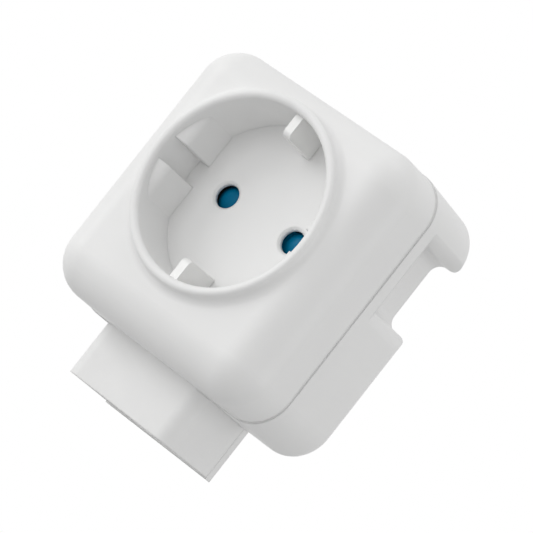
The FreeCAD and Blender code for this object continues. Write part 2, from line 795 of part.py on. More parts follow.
def make_shutter_cover():
    axis_z = s.socket_rise
    disc = rod("cover_disc", cover_r, "Y", (ZERO, floor_back_y, axis_z), cover_back_y - floor_back_y)
    chamber = rod("cover_chamber", cover_r - s.cover_rim, "Y", (ZERO, floor_back_y, axis_z),
                  cover_y - floor_back_y)
    spring_pocket = rod("cover_spring_pocket", s.spring_mean_r + s.spring_wire_r * 3, "Y",
                        (ZERO, cover_y, axis_z), s.spring_room)
    ears = box("cover_ears", (-ear_out, ear_out), (cover_y, cover_back_y),
               (axis_z - s.ear_half, axis_z + s.ear_half))
    holes = [spring_pocket, chamber]
    for side in (-1, 1):
        holes.append(rod(f"cover_pin_hole_{side + 1}", s.pin_hole_r, "Y", (pin_at * side, cover_y, axis_z),
                         s.cover_thick))
        holes.append(rod(f"cover_stake_hole_{side + 1}", s.stake_r + s.stake_clear, "Y",
                         ((ear_out - s.stake_r * 1.4) * side, cover_y, axis_z), s.cover_thick))
    return keep("shutter_cover", cut("cover_whole", join("cover_solid", [disc, ears]), holes))


def make_shutter_spring():
    """A torsion spring of a few turns round the pivot, its fine wire drawn with eight sides."""
    rise = s.spring_wire_r * 2.6
    path = doc.addObject("Part::Helix", "spring_path")
    bind(path, "Radius", s.spring_mean_r)
    bind(path, "Pitch", rise)
    bind(path, "Height", rise * SIZES["spring_turns"])
    path.Placement = turned("Y")
    start_y = cover_y + s.spring_wire_r
    place(path, ZERO, start_y, s.socket_rise)
    section = doc.addObject("Part::RegularPolygon", "spring_section")
    section.Polygon = 8
    bind(section, "Circumradius", s.spring_wire_r)
    place(section, s.spring_mean_r, start_y, s.socket_rise)
    coil = doc.addObject("Part::Sweep", "spring_coil")
    coil.Sections = [section]
    coil.Spine = (path, ["Edge1"])
    coil.Solid = True
    coil.Frenet = True
    return keep("shutter_spring", coil)


def make_contacts():
    """Two slit tubes that grip the pins of a plug, each with a tail to the board."""
    for node, side in (("line_contact", -1), ("neutral_contact", 1)):
        x = pin_at * side
        start_y = cover_back_y + s.part_gap / 2
        tube = rod(node + "_tube", s.contact_tube_r, "Y", (x, start_y, s.socket_rise), s.contact_long)
        bore = rod(node + "_bore", s.pin_r + s.contact_clear, "Y", (x, start_y, s.socket_rise),
                   s.contact_long)
        slit = box(node + "_slit", (x - s.contact_slit / 2, x + s.contact_slit / 2),
                   (start_y, start_y + s.contact_long), (s.socket_rise, s.socket_rise + s.contact_tube_r))
        tail = box(node + "_tail", (x - s.contact_slit, x + s.contact_slit),
                   (start_y + s.contact_long / 2, board_back_y),
                   (s.socket_rise - s.contact_tube_r + s.slot_clear,
                    s.socket_rise - s.pin_r - s.contact_clear * 2))
        keep(node, join(node + "_whole", [cut(node + "_spring", tube, [bore, slit]), tail]))


def make_contact_carrier():
    z = s.socket_rise
    block = box("carrier_block", (-s.carrier_half_wide, s.carrier_half_wide), (cover_back_y, board_y),
                (z - s.carrier_half_high, z + s.carrier_half_high))
    spaces = []
    for side in (-1, 1):
        spaces.append(rod(f"carrier_bore_{side + 1}", s.contact_tube_r + s.slot_clear, "Y",
                          (pin_at * side, cover_back_y, z), board_y - cover_back_y))
        spaces.append(rod(f"carrier_stake_room_{side + 1}", s.stake_r * 1.6, "Y",
                          ((ear_out - s.stake_r * 1.4) * side, cover_back_y, z), s.stake_r * 1.2))
    spaces.append(box("carrier_middle", (-s.pin_r, s.pin_r), (cover_back_y, board_y),
                      (z - s.pin_r, z + s.pin_r)))
    return keep("contact_carrier", cut("carrier_whole", block, spaces))


# Plug

def clip_tail_span(side, margin):
    """Where a plug earth clip's tail lies along X, low and high."""
    inner = s.plug_r - s.clip_groove_deep + s.slot_clear
    ends = ((inner - margin) * side, (inner + s.clip_thick + margin) * side)
    return sorted(ends, key=lambda size: size.number)


def make_plug_body():
    boss = rod("plug_boss", s.plug_r, "Y", (ZERO, rear_y, ZERO), s.plug_deep)
    boss = soften("plug_boss_rounded", boss, s.plug_edge, lambda e: lies(e, "Y", ZERO) and
                  near(e.BoundBox.XMax, s.plug_r))
    spigot = rod("plug_spigot", s.spigot_r, "Y", (ZERO, rear_inner_y, ZERO), s.wall)
    tools = []
    for side in (-1, 1):
        tools.append(rod(f"plug_pin_seat_{side + 1}", s.pin_shank_r + s.contact_clear, "Y",
                         (ZERO, rear_inner_y, pin_at * side), s.plug_deep + s.wall))
        tools.append(rod(f"plug_pin_dish_{side + 1}", s.pin_dish_r, "Y",
                         (ZERO, -s.pin_dish_deep, pin_at * side), s.pin_dish_deep))
        low_x, high_x = sorted(((s.plug_r - s.clip_groove_deep) * side, (s.plug_r + s.wall) * side),
                               key=lambda size: size.number)
        tools.append(box(f"plug_groove_{side + 1}", (low_x, high_x), (rear_y, ZERO),
                         (-s.clip_half - s.slot_clear, s.clip_half + s.slot_clear)))
        tools.append(rod(f"plug_pilot_{side + 1}", s.small_screw_r + s.screw_clear, "Y",
                         (s.plug_screw_at * side, rear_y, s.plug_screw_at * side), s.small_screw_long))
    return keep("plug_body", cut("plug_whole", join("plug_solid", [boss, spigot]), tools))


def make_plug_pins():
    """Pins with a thinner shank through the plug; each stands in a shallow dish in the plug's face."""
    start_y = -s.pin_dish_deep / 2
    for node, side in (("plug_pin_line", 1), ("plug_pin_neutral", -1)):
        z = pin_at * side
        tip = rod(node + "_tip", s.pin_r, "Y", (ZERO, start_y, z), s.pin_long - start_y)
        tip = soften(node + "_rounded", tip, s.pin_tip_round, lambda e: lies(e, "Y", s.pin_long))
        shank = rod(node + "_shank", s.pin_shank_r, "Y", (ZERO, board_y, z), start_y - board_y)
        keep(node, join(node + "_whole", [tip, shank]))


def make_plug_earths():
    """Strips in the plug's side grooves, bowed outwards, with a tail through to the board."""
    for node, side in (("plug_earth_left", -1), ("plug_earth_right", 1)):
        low_x, high_x = clip_tail_span(side, ZERO)
        tail = box(node + "_tail", (low_x, high_x), (board_y + s.board_thick / 2, rear_y + s.plug_deep / 2),
                   (-s.clip_half, s.clip_half))
        strip_low, strip_high = sorted(((s.plug_r - s.clip_groove_deep + s.slot_clear) * side,
                                        s.plug_r * side), key=lambda size: size.number)
        bow = box(node + "_bow", (strip_low, strip_high), (rear_y + s.plug_deep / 3, -s.clip_front),
                  (-s.clip_half, s.clip_half))
        bow = soften(node + "_rounded", bow, s.clip_groove_deep - s.clip_thick,
                     lambda e: runs(e, "Z") and near(abs(e.BoundBox.XMin), s.plug_r))
        keep(node, join(node + "_whole", [tail, bow]))


# Network port, pairing button and status light

def make_jack():
    cavity_y = jack_front_y + s.jack_front_wall
    block = box("jack_block", (jack_left, jack_right), (jack_front_y, board_y),
                (port_floor_z, jack_top_z))
    cavity = box("jack_cavity", (jack_middle - s.jack_mouth_wide / 2, jack_middle + s.jack_mouth_wide / 2),
                 (cavity_y, cavity_y + s.jack_mouth_high), (port_floor_z, port_floor_z + s.jack_cavity))
    latch = box("jack_latch", (jack_middle - s.jack_latch_wide / 2, jack_middle + s.jack_latch_wide / 2),
                (cavity_y + s.jack_mouth_high / 2, cavity_y + s.jack_mouth_high + s.jack_latch_high),
                (port_floor_z, port_floor_z + s.jack_cavity * 0.8))
    keep("jack_housing", cut("jack_whole", block, [cavity, latch]))

    gap = s.slot_clear
    cover = box("shield_block",
                (jack_left - gap - s.shield_thick, jack_right + gap + s.shield_thick),
                (jack_front_y - gap - s.shield_thick, board_y),
                (port_floor_z + gap, jack_top_z + gap + s.shield_thick))
    inside = box("shield_inside", (jack_left - gap, jack_right + gap), (jack_front_y - gap, board_y),
                 (port_floor_z + gap, jack_top_z + gap))
    keep("jack_shield", cut("shield_whole", cover, [inside]))

    wires = []
    wire_count = 8
    for i in range(wire_count):
        x = jack_middle + s.jack_wire_pitch * (i - (wire_count - 1) / 2)
        wires.append(box(f"jack_wire_{i}", (x - s.jack_wire / 2, x + s.jack_wire / 2),
                         (cavity_y, cavity_y + s.jack_wire * 2),
                         (port_floor_z + s.jack_wire_pitch * 2, port_floor_z + s.jack_cavity)))
    keep("jack_contacts", group("jack_wires", wires))


def make_button():
    x, y = button_x, s.button_y
    cap = plate("button_cap", "XY", rectangle((x - s.button_half, x + s.button_half),
                (y - s.button_half, y + s.button_half), s.button_round),
                port_bottom_z + s.button_sink, port_floor_z)
    cap = soften("button_cap_rounded", cap, s.button_round / 3,
                 lambda e: lies(e, "Z", port_bottom_z + s.button_sink))
    reach = s.button_half + s.button_flange
    flange = box("button_flange", (x - reach, x + reach), (y - reach, y + reach),
                 (port_floor_z, port_floor_z + s.button_flange_thick))
    stem = rod("button_stem", s.plunger_r, "Z", (x, y, port_floor_z), s.button_flange_thick + s.button_stem)
    keep("pair_button", join("button_whole", [cap, flange, stem]))

    switch_z = stem_top_z + s.plunger_out
    body = box("switch_block", (x - s.switch_half, x + s.switch_half), (y - s.switch_half, board_y),
               (switch_z, switch_z + s.switch_high))
    room = rod("switch_room", s.plunger_r + s.slot_clear, "Z", (x, y, switch_z),
               s.plunger_out + s.button_travel + s.slot_clear)
    keep("switch_body", cut("switch_whole", body, [room]))
    keep("switch_plunger", rod("switch_plunger_rod", s.plunger_r, "Z", (x, y, stem_top_z),
                               s.plunger_out * 2))


def make_light():
    z = port_bottom_z
    guide = rod("guide_rod", s.guide_r, "Z", (led_x, guide_y, z), s.guide_long)
    keep("light_guide", guide)
    led = box("led_block", (led_x - s.guide_r, led_x + s.guide_r),
              (guide_y - s.guide_r, board_y), (z + s.guide_long, z + s.guide_long + s.led_high))
    keep("status_led", led)


# Board and what stands on it

def make_board():
    edge = s.board_clear
    out_x = inner_half - edge
    waist_x = scoop_wall_x - s.wall - edge
    low_x = COLUMNS[0][0] - s.column_r - edge
    top_x = COLUMNS[2][0] - s.column_r - edge
    low_z = bottom_z + s.wall + edge
    high_z = top_z - s.rear_top_drop - s.wall - edge
    waist_low_z = scoop_low_z - s.wall - edge
    top_step_z = column_high_z - s.column_r - edge
    tongue_left = port_left_x + s.port_wall + edge
    tongue_right = port_right_x - s.port_wall - edge
    tongue_z = port_floor_z + edge
    right = [
        (tongue_right, low_z, ZERO), (low_x, low_z, edge), (low_x, board_step_z, ZERO),
        (out_x, board_step_z, edge), (out_x, waist_low_z, edge), (waist_x, waist_low_z, ZERO),
        (waist_x, top_step_z, edge), (top_x, top_step_z, ZERO), (top_x, high_z, edge),
    ]
    left = [(-x, z, radius) for x, z, radius in reversed(right[1:])]
    corners = [(tongue_left, tongue_z, ZERO), (tongue_right, tongue_z, ZERO)]
    corners += right + left + [(tongue_left, low_z, ZERO)]
    board = plate("board_plate", "XZ", corners, board_y, board_back_y)
    holes = []
    for i, (x, z) in enumerate(COLUMNS):
        holes.append(rod(f"board_way_{i}", s.column_r + s.slot_clear * 2, "Y", (x, board_y, z),
                         s.board_thick))
    for i, (x, z) in enumerate(BOARD_POSTS):
        holes.append(rod(f"board_screw_hole_{i}", s.small_screw_r + s.slot_clear, "Y", (x, board_y, z),
                         s.board_thick))
    for side in (-1, 1):
        holes.append(rod(f"board_pin_hole_{side + 1}", s.pin_shank_r + s.slot_clear, "Y",
                         (ZERO, board_y, pin_at * side), s.board_thick))
        low_x, high_x = clip_tail_span(side, s.slot_clear)
        holes.append(box(f"board_clip_slot_{side + 1}", (low_x, high_x), (board_y, board_back_y),
                         (-s.clip_half - s.slot_clear, s.clip_half + s.slot_clear)))
        x = pin_at * side
        holes.append(box(f"board_contact_slot_{side + 1}",
                         (x - s.contact_slit - s.slot_clear, x + s.contact_slit + s.slot_clear),
                         (board_y, board_back_y),
                         (s.socket_rise - s.contact_tube_r - s.slot_clear,
                          s.socket_rise - s.pin_r + s.slot_clear)))
        reach_r = cover_r + s.earth_from_cover
        ends = sorted((s.socket_rise + (reach_r - s.slot_clear) * side,
                       s.socket_rise + (reach_r + s.earth_tail + s.slot_clear) * side),
                      key=lambda size: size.number)
        half = s.earth_thick / 2 + s.slot_clear
        holes.append(box(f"board_earth_slot_{side + 1}", (-half, half), (board_y, board_back_y), ends))
    return keep("main_board", cut("board_whole", board, holes))


def on_board(name, left, bottom, wide, high, tall, lift=ZERO):
    """A block that stands on the board's front face, its left and bottom edges given."""
    return box(name, (left, left + wide), (board_y - lift - tall, board_y - lift),
               (bottom, bottom + high))


def make_transformer():
    left = transformer_left
    bottom = transformer_bottom
    core = on_board("core_block", left, bottom, s.transformer_wide, s.transformer_high,
                    s.transformer_tall - s.core_end, s.core_end / 2)
    windows = [box("core_window_low", (left + s.core_leg, left + s.transformer_wide - s.core_leg),
                   (board_y - s.transformer_tall, board_y),
                   (bottom, bottom + s.transformer_high / 2 - s.core_leg / 2)),
               box("core_window_high", (left + s.core_leg, left + s.transformer_wide - s.core_leg),
                   (board_y - s.transformer_tall, board_y),
                   (bottom + s.transformer_high / 2 + s.core_leg / 2, bottom + s.transformer_high))]
    keep("transformer_core", cut("core_whole", core, windows))
    clear = s.slot_clear
    bobbin = on_board("bobbin_block", left + s.core_leg + clear, bottom,
                      s.transformer_wide - (s.core_leg + clear) * 2, s.transformer_high, s.transformer_tall)
    room = box("bobbin_room", (left, left + s.transformer_wide),
               (board_y - s.transformer_tall + s.core_end / 2 - clear, board_y - s.core_end / 2 + clear),
               (bottom + s.transformer_high / 2 - s.core_leg / 2 - clear,
                bottom + s.transformer_high / 2 + s.core_leg / 2 + clear))
    keep("transformer_winding", cut("bobbin_whole", bobbin, [room]))


def make_bulk_capacitors():
    cans = []
    for i in range(2):
        z = bulk_z + (s.bulk_r * 2 + s.part_gap) * i
        can = rod(f"bulk_can_{i}", s.bulk_r, "Y", (bulk_x, board_y - s.bulk_tall, z), s.bulk_tall)
        cans.append(soften(f"bulk_can_rounded_{i}", can, s.part_gap / 2,
                           lambda e: lies(e, "Y", board_y - s.bulk_tall)))
    keep("bulk_capacitors", group("bulk_cans", cans))


def make_line_filter():
    film = on_board("film_block", film_left, film_bottom, s.film_wide, s.film_high, s.film_tall)
    keep("suppression_capacitor", film)
    ring = rod("choke_ring", s.choke_r, "Y", (choke_x, board_y - s.choke_tall, choke_z), s.choke_tall)
    hole = rod("choke_hole", s.choke_hole_r, "Y", (choke_x, board_y - s.choke_tall, choke_z), s.choke_tall)
    core = cut("choke_core_whole", ring, [hole])
    keep("line_choke_core", core)
    turns = []
    wound = rod("choke_wound", s.choke_r - s.choke_wire / 2, "Y",
                (choke_x, board_y - s.choke_tall - s.choke_wire, choke_z), s.choke_wire)
    wound_hole = rod("choke_wound_hole", s.choke_hole_r + s.choke_wire / 2, "Y",
                     (choke_x, board_y - s.choke_tall - s.choke_wire, choke_z), s.choke_wire)
    band = cut("choke_wound_band", wound, [wound_hole])
    for side in (-1, 1):
        ends = sorted((choke_z + s.choke_wire * side, choke_z + s.choke_r * side),
                      key=lambda size: size.number)
        half_box = box(f"choke_half_{side + 1}", (choke_x - s.choke_r, choke_x + s.choke_r),
                       (board_y - s.choke_tall - s.choke_wire, board_y - s.choke_tall), ends)
        turns.append(common(f"choke_turns_{side + 1}", band, half_box))
    keep("line_choke_windings", group("choke_windings", turns))


def make_mains_parts():
    keep("fuse", rod("fuse_can", s.fuse_r, "Y", (fuse_x, board_y - s.fuse_tall, fuse_z), s.fuse_tall))
    disc = rod("varistor_disc", s.varistor_r, "X",
               (varistor_left, board_y - s.varistor_r - s.part_gap, varistor_z), s.varistor_thick)
    legs = box("varistor_legs", (varistor_left + s.varistor_thick / 3,
                                 varistor_left + s.varistor_thick * (2 / 3)),
               (board_y - s.varistor_r, board_y),
               (varistor_z - s.varistor_r / 2, varistor_z + s.varistor_r / 2))
    keep("varistor", join("varistor_whole", [disc, legs]))
    keep("bridge_rectifier", on_board("rectifier_block", rectifier_left, rectifier_bottom,
                                      s.rectifier_wide, s.rectifier_high, s.rectifier_tall))


def make_network_parts():
    chip = on_board("chip_block", chip_left, chip_bottom, s.chip_side, s.chip_side, s.chip_tall)
    keep("network_chip", chip)
    sink = on_board("sink_block", chip_left, chip_bottom, s.chip_side, s.chip_side, s.sink_tall,
                    s.chip_tall)
    gaps = []
    gap_count = 4
    pitch = s.chip_side / gap_count
    for i in range(gap_count):
        start = chip_left + s.sink_fin / 2 + pitch * i
        gaps.append(box(f"sink_gap_{i}", (start, start + pitch - s.sink_fin),
                        (board_y - s.chip_tall - s.sink_tall, board_y - s.chip_tall - s.sink_base),
                        (chip_bottom, chip_bottom + s.chip_side)))
    keep("heat_sink", cut("sink_whole", sink, gaps))
    keep("ethernet_magnetics", on_board("magnetics_block", magnetics_left, magnetics_bottom,
                                        s.magnetics_wide, s.magnetics_high, s.magnetics_tall))
    keep("coupling_transformer", on_board("coupler_block", coupler_left, coupler_bottom,
                                          s.coupler_side, s.coupler_side, s.coupler_tall))
    keep("memory_chip", on_board("memory_block", memory_left, memory_bottom, s.memory_wide,
                                 s.memory_high, s.memory_tall))
    keep("crystal", on_board("crystal_block", crystal_left, crystal_bottom, s.crystal_wide,
                             s.crystal_high, s.crystal_tall))


# Screws

def screw(name, shaft_r, head_r, head, start, long, towards):
    """A screw along Y: its head starts at start, its shaft runs towards +Y or -Y."""
    x, y, z = start
    if towards > 0:
        cap = rod(name + "_head", head_r, "Y", (x, y - head, z), head)
        shaft = rod(name + "_shaft", shaft_r, "Y", (x, y, z), long)
        slot = box(name + "_slot", (x - head_r, x + head_r), (y - head, y - head / 2),
                   (z - head / 6, z + head / 6))
    else:
        cap = rod(name + "_head", head_r, "Y", (x, y, z), head)
        shaft = rod(name + "_shaft", shaft_r, "Y", (x, y - long, z), long)
        slot = box(name + "_slot", (x - head_r, x + head_r), (y + head / 2, y + head),
                   (z - head / 6, z + head / 6))
    return cut(name, join(name + "_solid", [cap, shaft]), [slot])


def make_screws():
    casing = []
    for i, (x, z) in enumerate(COLUMNS):
        casing.append(screw(f"casing_screw_{i}", s.screw_r, s.screw_head_r, s.screw_head,
                            (x, seam_y + s.column_web, z), s.screw_long, -1))
    keep("casing_screws", group("casing_screw_set", casing))
    board = []
    for i, (x, z) in enumerate(BOARD_POSTS):
        board.append(screw(f"board_screw_{i}", s.small_screw_r, s.small_head_r, s.small_head,
                           (x, board_y, z), s.board_thick + s.board_stand + s.wall / 2, 1))
    keep("board_screws", group("board_screw_set", board))
    plug = []
    for side in (-1, 1):
        plug.append(screw(f"plug_screw_{side + 1}", s.small_screw_r, s.small_head_r, s.small_head,
                          (s.plug_screw_at * side, rear_inner_y, s.plug_screw_at * side),
                          s.wall + s.small_screw_long, 1))
    keep("plug_screws", group("plug_screw_set", plug))


# Places on the board, each set off from its neighbours and from the casing's inner walls.
guide_y = board_y - s.guide_r * 2
stem_top_z = port_floor_z + s.button_flange_thick + s.button_stem
board_step_z = column_low_z + s.column_r + s.board_clear
carrier_top_z = s.socket_rise + s.carrier_half_high
carrier_bottom_z = s.socket_rise - s.carrier_half_high
chip_left = -s.chip_side - s.part_gap * 2
chip_bottom = carrier_top_z + s.part_gap
post_x = inner_half - s.post_r - s.part_gap
post_z = scoop_low_z - s.wall - s.board_clear - s.post_r
BOARD_POSTS = [
    (post_x, post_z),
    (-post_x, post_z),
    (chip_left - s.part_gap - s.post_r, chip_bottom + s.chip_side / 2),
]
pin_side_x = s.pin_r + s.part_gap
transformer_left = -pin_side_x - s.transformer_wide
transformer_bottom = carrier_bottom_z - s.part_gap - s.transformer_high
film_left = pin_side_x
film_bottom = carrier_bottom_z - s.part_gap - s.film_high
choke_x = film_left + s.film_wide + s.part_gap + s.choke_r
choke_z = film_bottom + s.choke_r
bulk_x = -(inner_half - s.board_clear - s.part_gap - s.bulk_r)
bulk_z = board_step_z + s.part_gap + s.bulk_r
fuse_x = pin_side_x + s.fuse_r
fuse_z = -pin_at
varistor_left = pin_side_x + s.fuse_r * 2 + s.part_gap
varistor_z = -pin_at
rectifier_left = inner_half - s.board_clear - s.part_gap - s.rectifier_wide
rectifier_bottom = board_step_z + s.part_gap
magnetics_left = -pin_side_x - s.magnetics_wide
magnetics_bottom = jack_top_z + s.part_gap
coupler_left = s.part_gap * 3
coupler_bottom = carrier_top_z + s.part_gap
memory_left = coupler_left + s.coupler_side + s.part_gap
memory_bottom = carrier_top_z + s.part_gap
crystal_left = memory_left
crystal_bottom = memory_bottom + s.memory_high + s.part_gap

make_front_shell()
make_rear_shell()
make_port_cover()
make_socket_earths()
make_shutter()
make_shutter_cover()
make_shutter_spring()
make_contacts()
make_contact_carrier()
make_plug_body()
make_plug_pins()
make_plug_earths()
make_jack()
make_button()
make_light()
make_board()
make_transformer()
make_bulk_capacitors()
make_line_filter()
make_mains_parts()
make_network_parts()
make_screws()
doc.recompute()

for thing in doc.Objects:
    if "Invalid" in thing.State or "Error" in thing.State:
        raise RuntimeError(f"{thing.Name} failed: {thing.State}")
for node, thing in pieces:
    if thing.Shape.isNull() or not thing.Shape.isValid():
        raise RuntimeError(f"{node} has no valid shape")

os.makedirs("parts", exist_ok=True)
for node, thing in pieces:
    thing.Shape.exportStep(f"parts/{node}.step")
    print(f"{node}: {len(thing.Shape.Solids)} solid(s), {thing.Shape.Volume:.1f} mm3")
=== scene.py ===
"""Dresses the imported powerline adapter: finishes, fine pieces, a pale stage and the camera."""

import json
import math
from collections import namedtuple

import bmesh
import bpy
from bpy.props import FloatProperty, FloatVectorProperty, PointerProperty
from mathutils import Matrix, Vector


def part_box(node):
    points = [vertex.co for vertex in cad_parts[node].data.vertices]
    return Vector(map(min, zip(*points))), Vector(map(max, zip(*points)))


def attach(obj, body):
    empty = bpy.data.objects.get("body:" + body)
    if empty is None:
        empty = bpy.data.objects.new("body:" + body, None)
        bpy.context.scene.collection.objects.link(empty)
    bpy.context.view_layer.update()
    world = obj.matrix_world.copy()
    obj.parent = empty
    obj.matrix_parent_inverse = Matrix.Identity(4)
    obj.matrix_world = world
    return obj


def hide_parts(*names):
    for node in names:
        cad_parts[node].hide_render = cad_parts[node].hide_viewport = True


bl_info = {
    "name": "Powerline adapter",
    "version": (1, 0, 0),
    "blender": (4, 5, 0),
    "location": "View3D > Sidebar > Adapter",
    "description": "Finishes, fine pieces and stage of a plug-through powerline adapter",
    "category": "Object",
}

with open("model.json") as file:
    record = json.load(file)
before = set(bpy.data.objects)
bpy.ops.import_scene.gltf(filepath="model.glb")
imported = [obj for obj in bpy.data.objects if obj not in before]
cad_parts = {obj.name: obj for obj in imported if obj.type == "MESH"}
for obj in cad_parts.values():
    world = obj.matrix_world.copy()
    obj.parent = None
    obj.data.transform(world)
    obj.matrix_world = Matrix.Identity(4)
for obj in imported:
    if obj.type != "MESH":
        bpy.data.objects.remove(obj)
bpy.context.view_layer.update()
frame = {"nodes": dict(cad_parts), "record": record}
nodes = frame["nodes"]


# Shader maths

class Wire:
    """A shader socket that takes part in sums, so that 1 - grain * 0.2 adds its own Math nodes."""

    def __init__(self, tree, socket):
        self.tree = tree
        self.socket = socket

    def sum(self, operation, first, second=0.0):
        node = self.tree.nodes.new("ShaderNodeMath")
        node.operation = operation
        join(self.tree, first, node.inputs[0])
        join(self.tree, second, node.inputs[1])
        return Wire(self.tree, node.outputs[0])

    def __add__(self, other):
        return self.sum("ADD", self, other)

    def __radd__(self, other):
        return self.sum("ADD", other, self)

    def __sub__(self, other):
        return self.sum("SUBTRACT", self, other)

    def __rsub__(self, other):
        return self.sum("SUBTRACT", other, self)

    def __mul__(self, other):
        return self.sum("MULTIPLY", self, other)

    def __truediv__(self, other):
        return self.sum("DIVIDE", self, other)

    def __gt__(self, other):
        return self.sum("GREATER_THAN", self, other)

    def __lt__(self, other):
        return self.sum("LESS_THAN", self, other)


def join(tree, value, socket):
    """Gives a socket its value, or a link if the value is a Wire."""
    if isinstance(value, Wire):
        tree.links.new(value.socket, socket)
    else:
        socket.default_value = value


class Network:
    """A tree of nodes in the making."""

    def __init__(self, tree):
        self.tree = tree

    def node(self, kind, settings=None, sockets=None, output=0):
        """Adds a node: its settings, then the values or links of its sockets; gives an output."""
        node = self.tree.nodes.new(kind)
        for word, value in (settings or {}).items():
            setattr(node, word, value)
        for word, value in (sockets or {}).items():
            join(self.tree, value, node.inputs[word])
        return Wire(self.tree, node.outputs[output])


class Finish(Network):
    """One material in the making. Its patterns read Object coordinates, in metres."""

    def __init__(self, name, constants=None):
        self.material = bpy.data.materials.new(name)
        self.material.use_nodes = True
        super().__init__(self.material.node_tree)
        self.shader = self.tree.nodes["Principled BSDF"]
        for word, value in (constants or {}).items():
            self.shader.inputs[word].default_value = value

    def place(self, stretch=(1, 1, 1)):
        """Object coordinates, squeezed or drawn out along an axis."""
        spot = self.node("ShaderNodeTexCoord", output="Object")
        if tuple(stretch) == (1, 1, 1):
            return spot
        return self.node("ShaderNodeMapping", sockets={"Vector": spot, "Scale": stretch})

    def noise(self, size, detail=2.0, stretch=(1, 1, 1)):
        """A cloudy value round 0.5 whose lumps are about size metres across."""
        return self.node("ShaderNodeTexNoise", sockets={
            "Vector": self.place(stretch), "Scale": 1 / size, "Detail": detail}, output="Fac")

    def mix(self, share, first, second):
        """A colour between two colours."""
        return self.node("ShaderNodeMix", {"data_type": "RGBA"}, {0: share, 6: first, 7: second}, 2)

    def spread(self, value, low, high, first=0.0, last=1.0):
        """Value taken from low..high to first..last, and held at the ends."""
        return self.node("ShaderNodeMapRange", {"clamp": True}, {
            "Value": value, "From Min": low, "From Max": high, "To Min": first, "To Max": last})

    def finish(self, colour=None, roughness=None, metallic=None, height=None, depth=1e-5, soft=0.0):
        """Links what changes over the surface to the shader; the bump's depth is in metres, and
        edges look rounded by soft metres."""
        for word, value in (("Base Color", colour), ("Roughness", roughness), ("Metallic", metallic)):
            if value is not None:
                join(self.tree, value, self.shader.inputs[word])
        if height is not None:
            bump = {"Height": height, "Distance": depth}
            if soft:
                bump["Normal"] = self.node("ShaderNodeBevel", {"samples": 6}, {"Radius": soft})
            join(self.tree, self.node("ShaderNodeBump", sockets=bump), self.shader.inputs["Normal"])
        return self.material


def shade(colour, by):
    """A colour made lighter or darker."""
    return tuple(min(1.0, part * by) for part in colour[:3]) + (1.0,)


def moulded(name, colour, grain=0.0004, grain_depth=4e-6, rough=0.42, uneven=0.06, coat=0.0,
            gleam=0.45, soft=0.0):
    """Moulded plastic: a fine spark-eroded grain, faint flow marks and a slightly uneven gloss."""
    made = Finish(name, {"Coat Weight": coat, "Coat Roughness": 0.25, "Specular IOR Level": gleam})
    fine = made.noise(grain, detail=1.0)
    broad = made.noise(0.02, detail=2.0)
    flow = made.noise(0.006, detail=3.0, stretch=(1, 1, 0.35))
    tint = made.mix(made.spread(broad, 0.35, 0.65), shade(colour, 0.985), shade(colour, 1.01))
    gloss = rough + (flow - 0.5) * uneven + (fine - 0.5) * uneven
    return made.finish(tint, gloss, height=fine + flow * 2.0, depth=grain_depth, soft=soft)


def metal(name, colour, rough=0.25, streak=(1, 1, 1), streak_size=0.0006, depth=2e-6, tarnish=0.12,
          metallic=1.0):
    """Drawn, rolled or plated metal: fine streaks along one axis and a little tarnish."""
    made = Finish(name, {"Metallic": metallic})
    lines = made.noise(streak_size, detail=3.0, stretch=streak)
    cloud = made.noise(0.004, detail=4.0)
    dull = made.spread(cloud, 0.45, 0.75, 0.0, tarnish)
    tint = made.mix(dull, tuple(colour) + (1.0,), shade(colour, 0.6))
    gloss = rough + (lines - 0.5) * 0.16 + dull * 0.5
    return made.finish(tint, gloss, height=lines, depth=depth)


def coated(name, colour, rough=0.35, speck=0.3, size=0.0015):
    """Dipped or painted parts: an orange-peel skin with small specks."""
    made = Finish(name, {"Coat Weight": 0.4, "Coat Roughness": 0.12})
    peel = made.noise(size, detail=2.0)
    dust = made.spread(made.noise(0.0003, detail=0.0), 0.62, 0.75)
    tint = made.mix(dust * speck, tuple(colour) + (1.0,), shade(colour, 1.5))
    return made.finish(tint, rough + (peel - 0.5) * 0.1, height=peel, depth=1.5e-5)


def circuit_board(name, colour, copper, area=0.005, pad_pitch=0.0034):
    """Solder mask over copper areas with slanting corners, thin gaps between them and bright pads."""
    made = Finish(name, {"Coat Weight": 0.3, "Coat Roughness": 0.1})
    flat = made.node("ShaderNodeMapping", {}, {
        "Vector": made.place(), "Rotation": (math.pi / 2, 0, 0)})
    near, far = (made.node("ShaderNodeTexVoronoi", {
        "voronoi_dimensions": "2D", "distance": "MANHATTAN", "feature": rank}, {
        "Vector": flat, "Scale": 1 / area, "Randomness": 0.9}, "Distance") for rank in ("F1", "F2"))
    gap = (far - near) < 0.07
    track = made.node("ShaderNodeTexBrick", {"offset": 0.5}, {
        "Vector": flat, "Scale": 1.0, "Brick Width": 0.021, "Row Height": 0.00095,
        "Mortar Size": 0.00016, "Mortar Smooth": 0.1}, "Fac") * (made.noise(0.016, detail=0.0) > 0.55)
    pads = made.node("ShaderNodeTexVoronoi", {"voronoi_dimensions": "2D"}, {
        "Vector": flat, "Scale": 1 / pad_pitch, "Randomness": 0.6}, "Distance")
    pad = pads < 0.13
    bare = gap.sum("MAXIMUM", gap, track)
    weave = made.noise(0.0008, detail=1.0)
    mask = made.mix(bare, shade(colour, 1.5), shade(colour, 0.6))
    tint = made.mix(pad, mask, tuple(copper) + (1.0,))
    return made.finish(tint, 0.3 + pad * 0.1 + (weave - 0.5) * 0.1, pad * 0.9,
                       2.0 - bare * 2.0 + weave * 0.3 + pad, 2e-5)


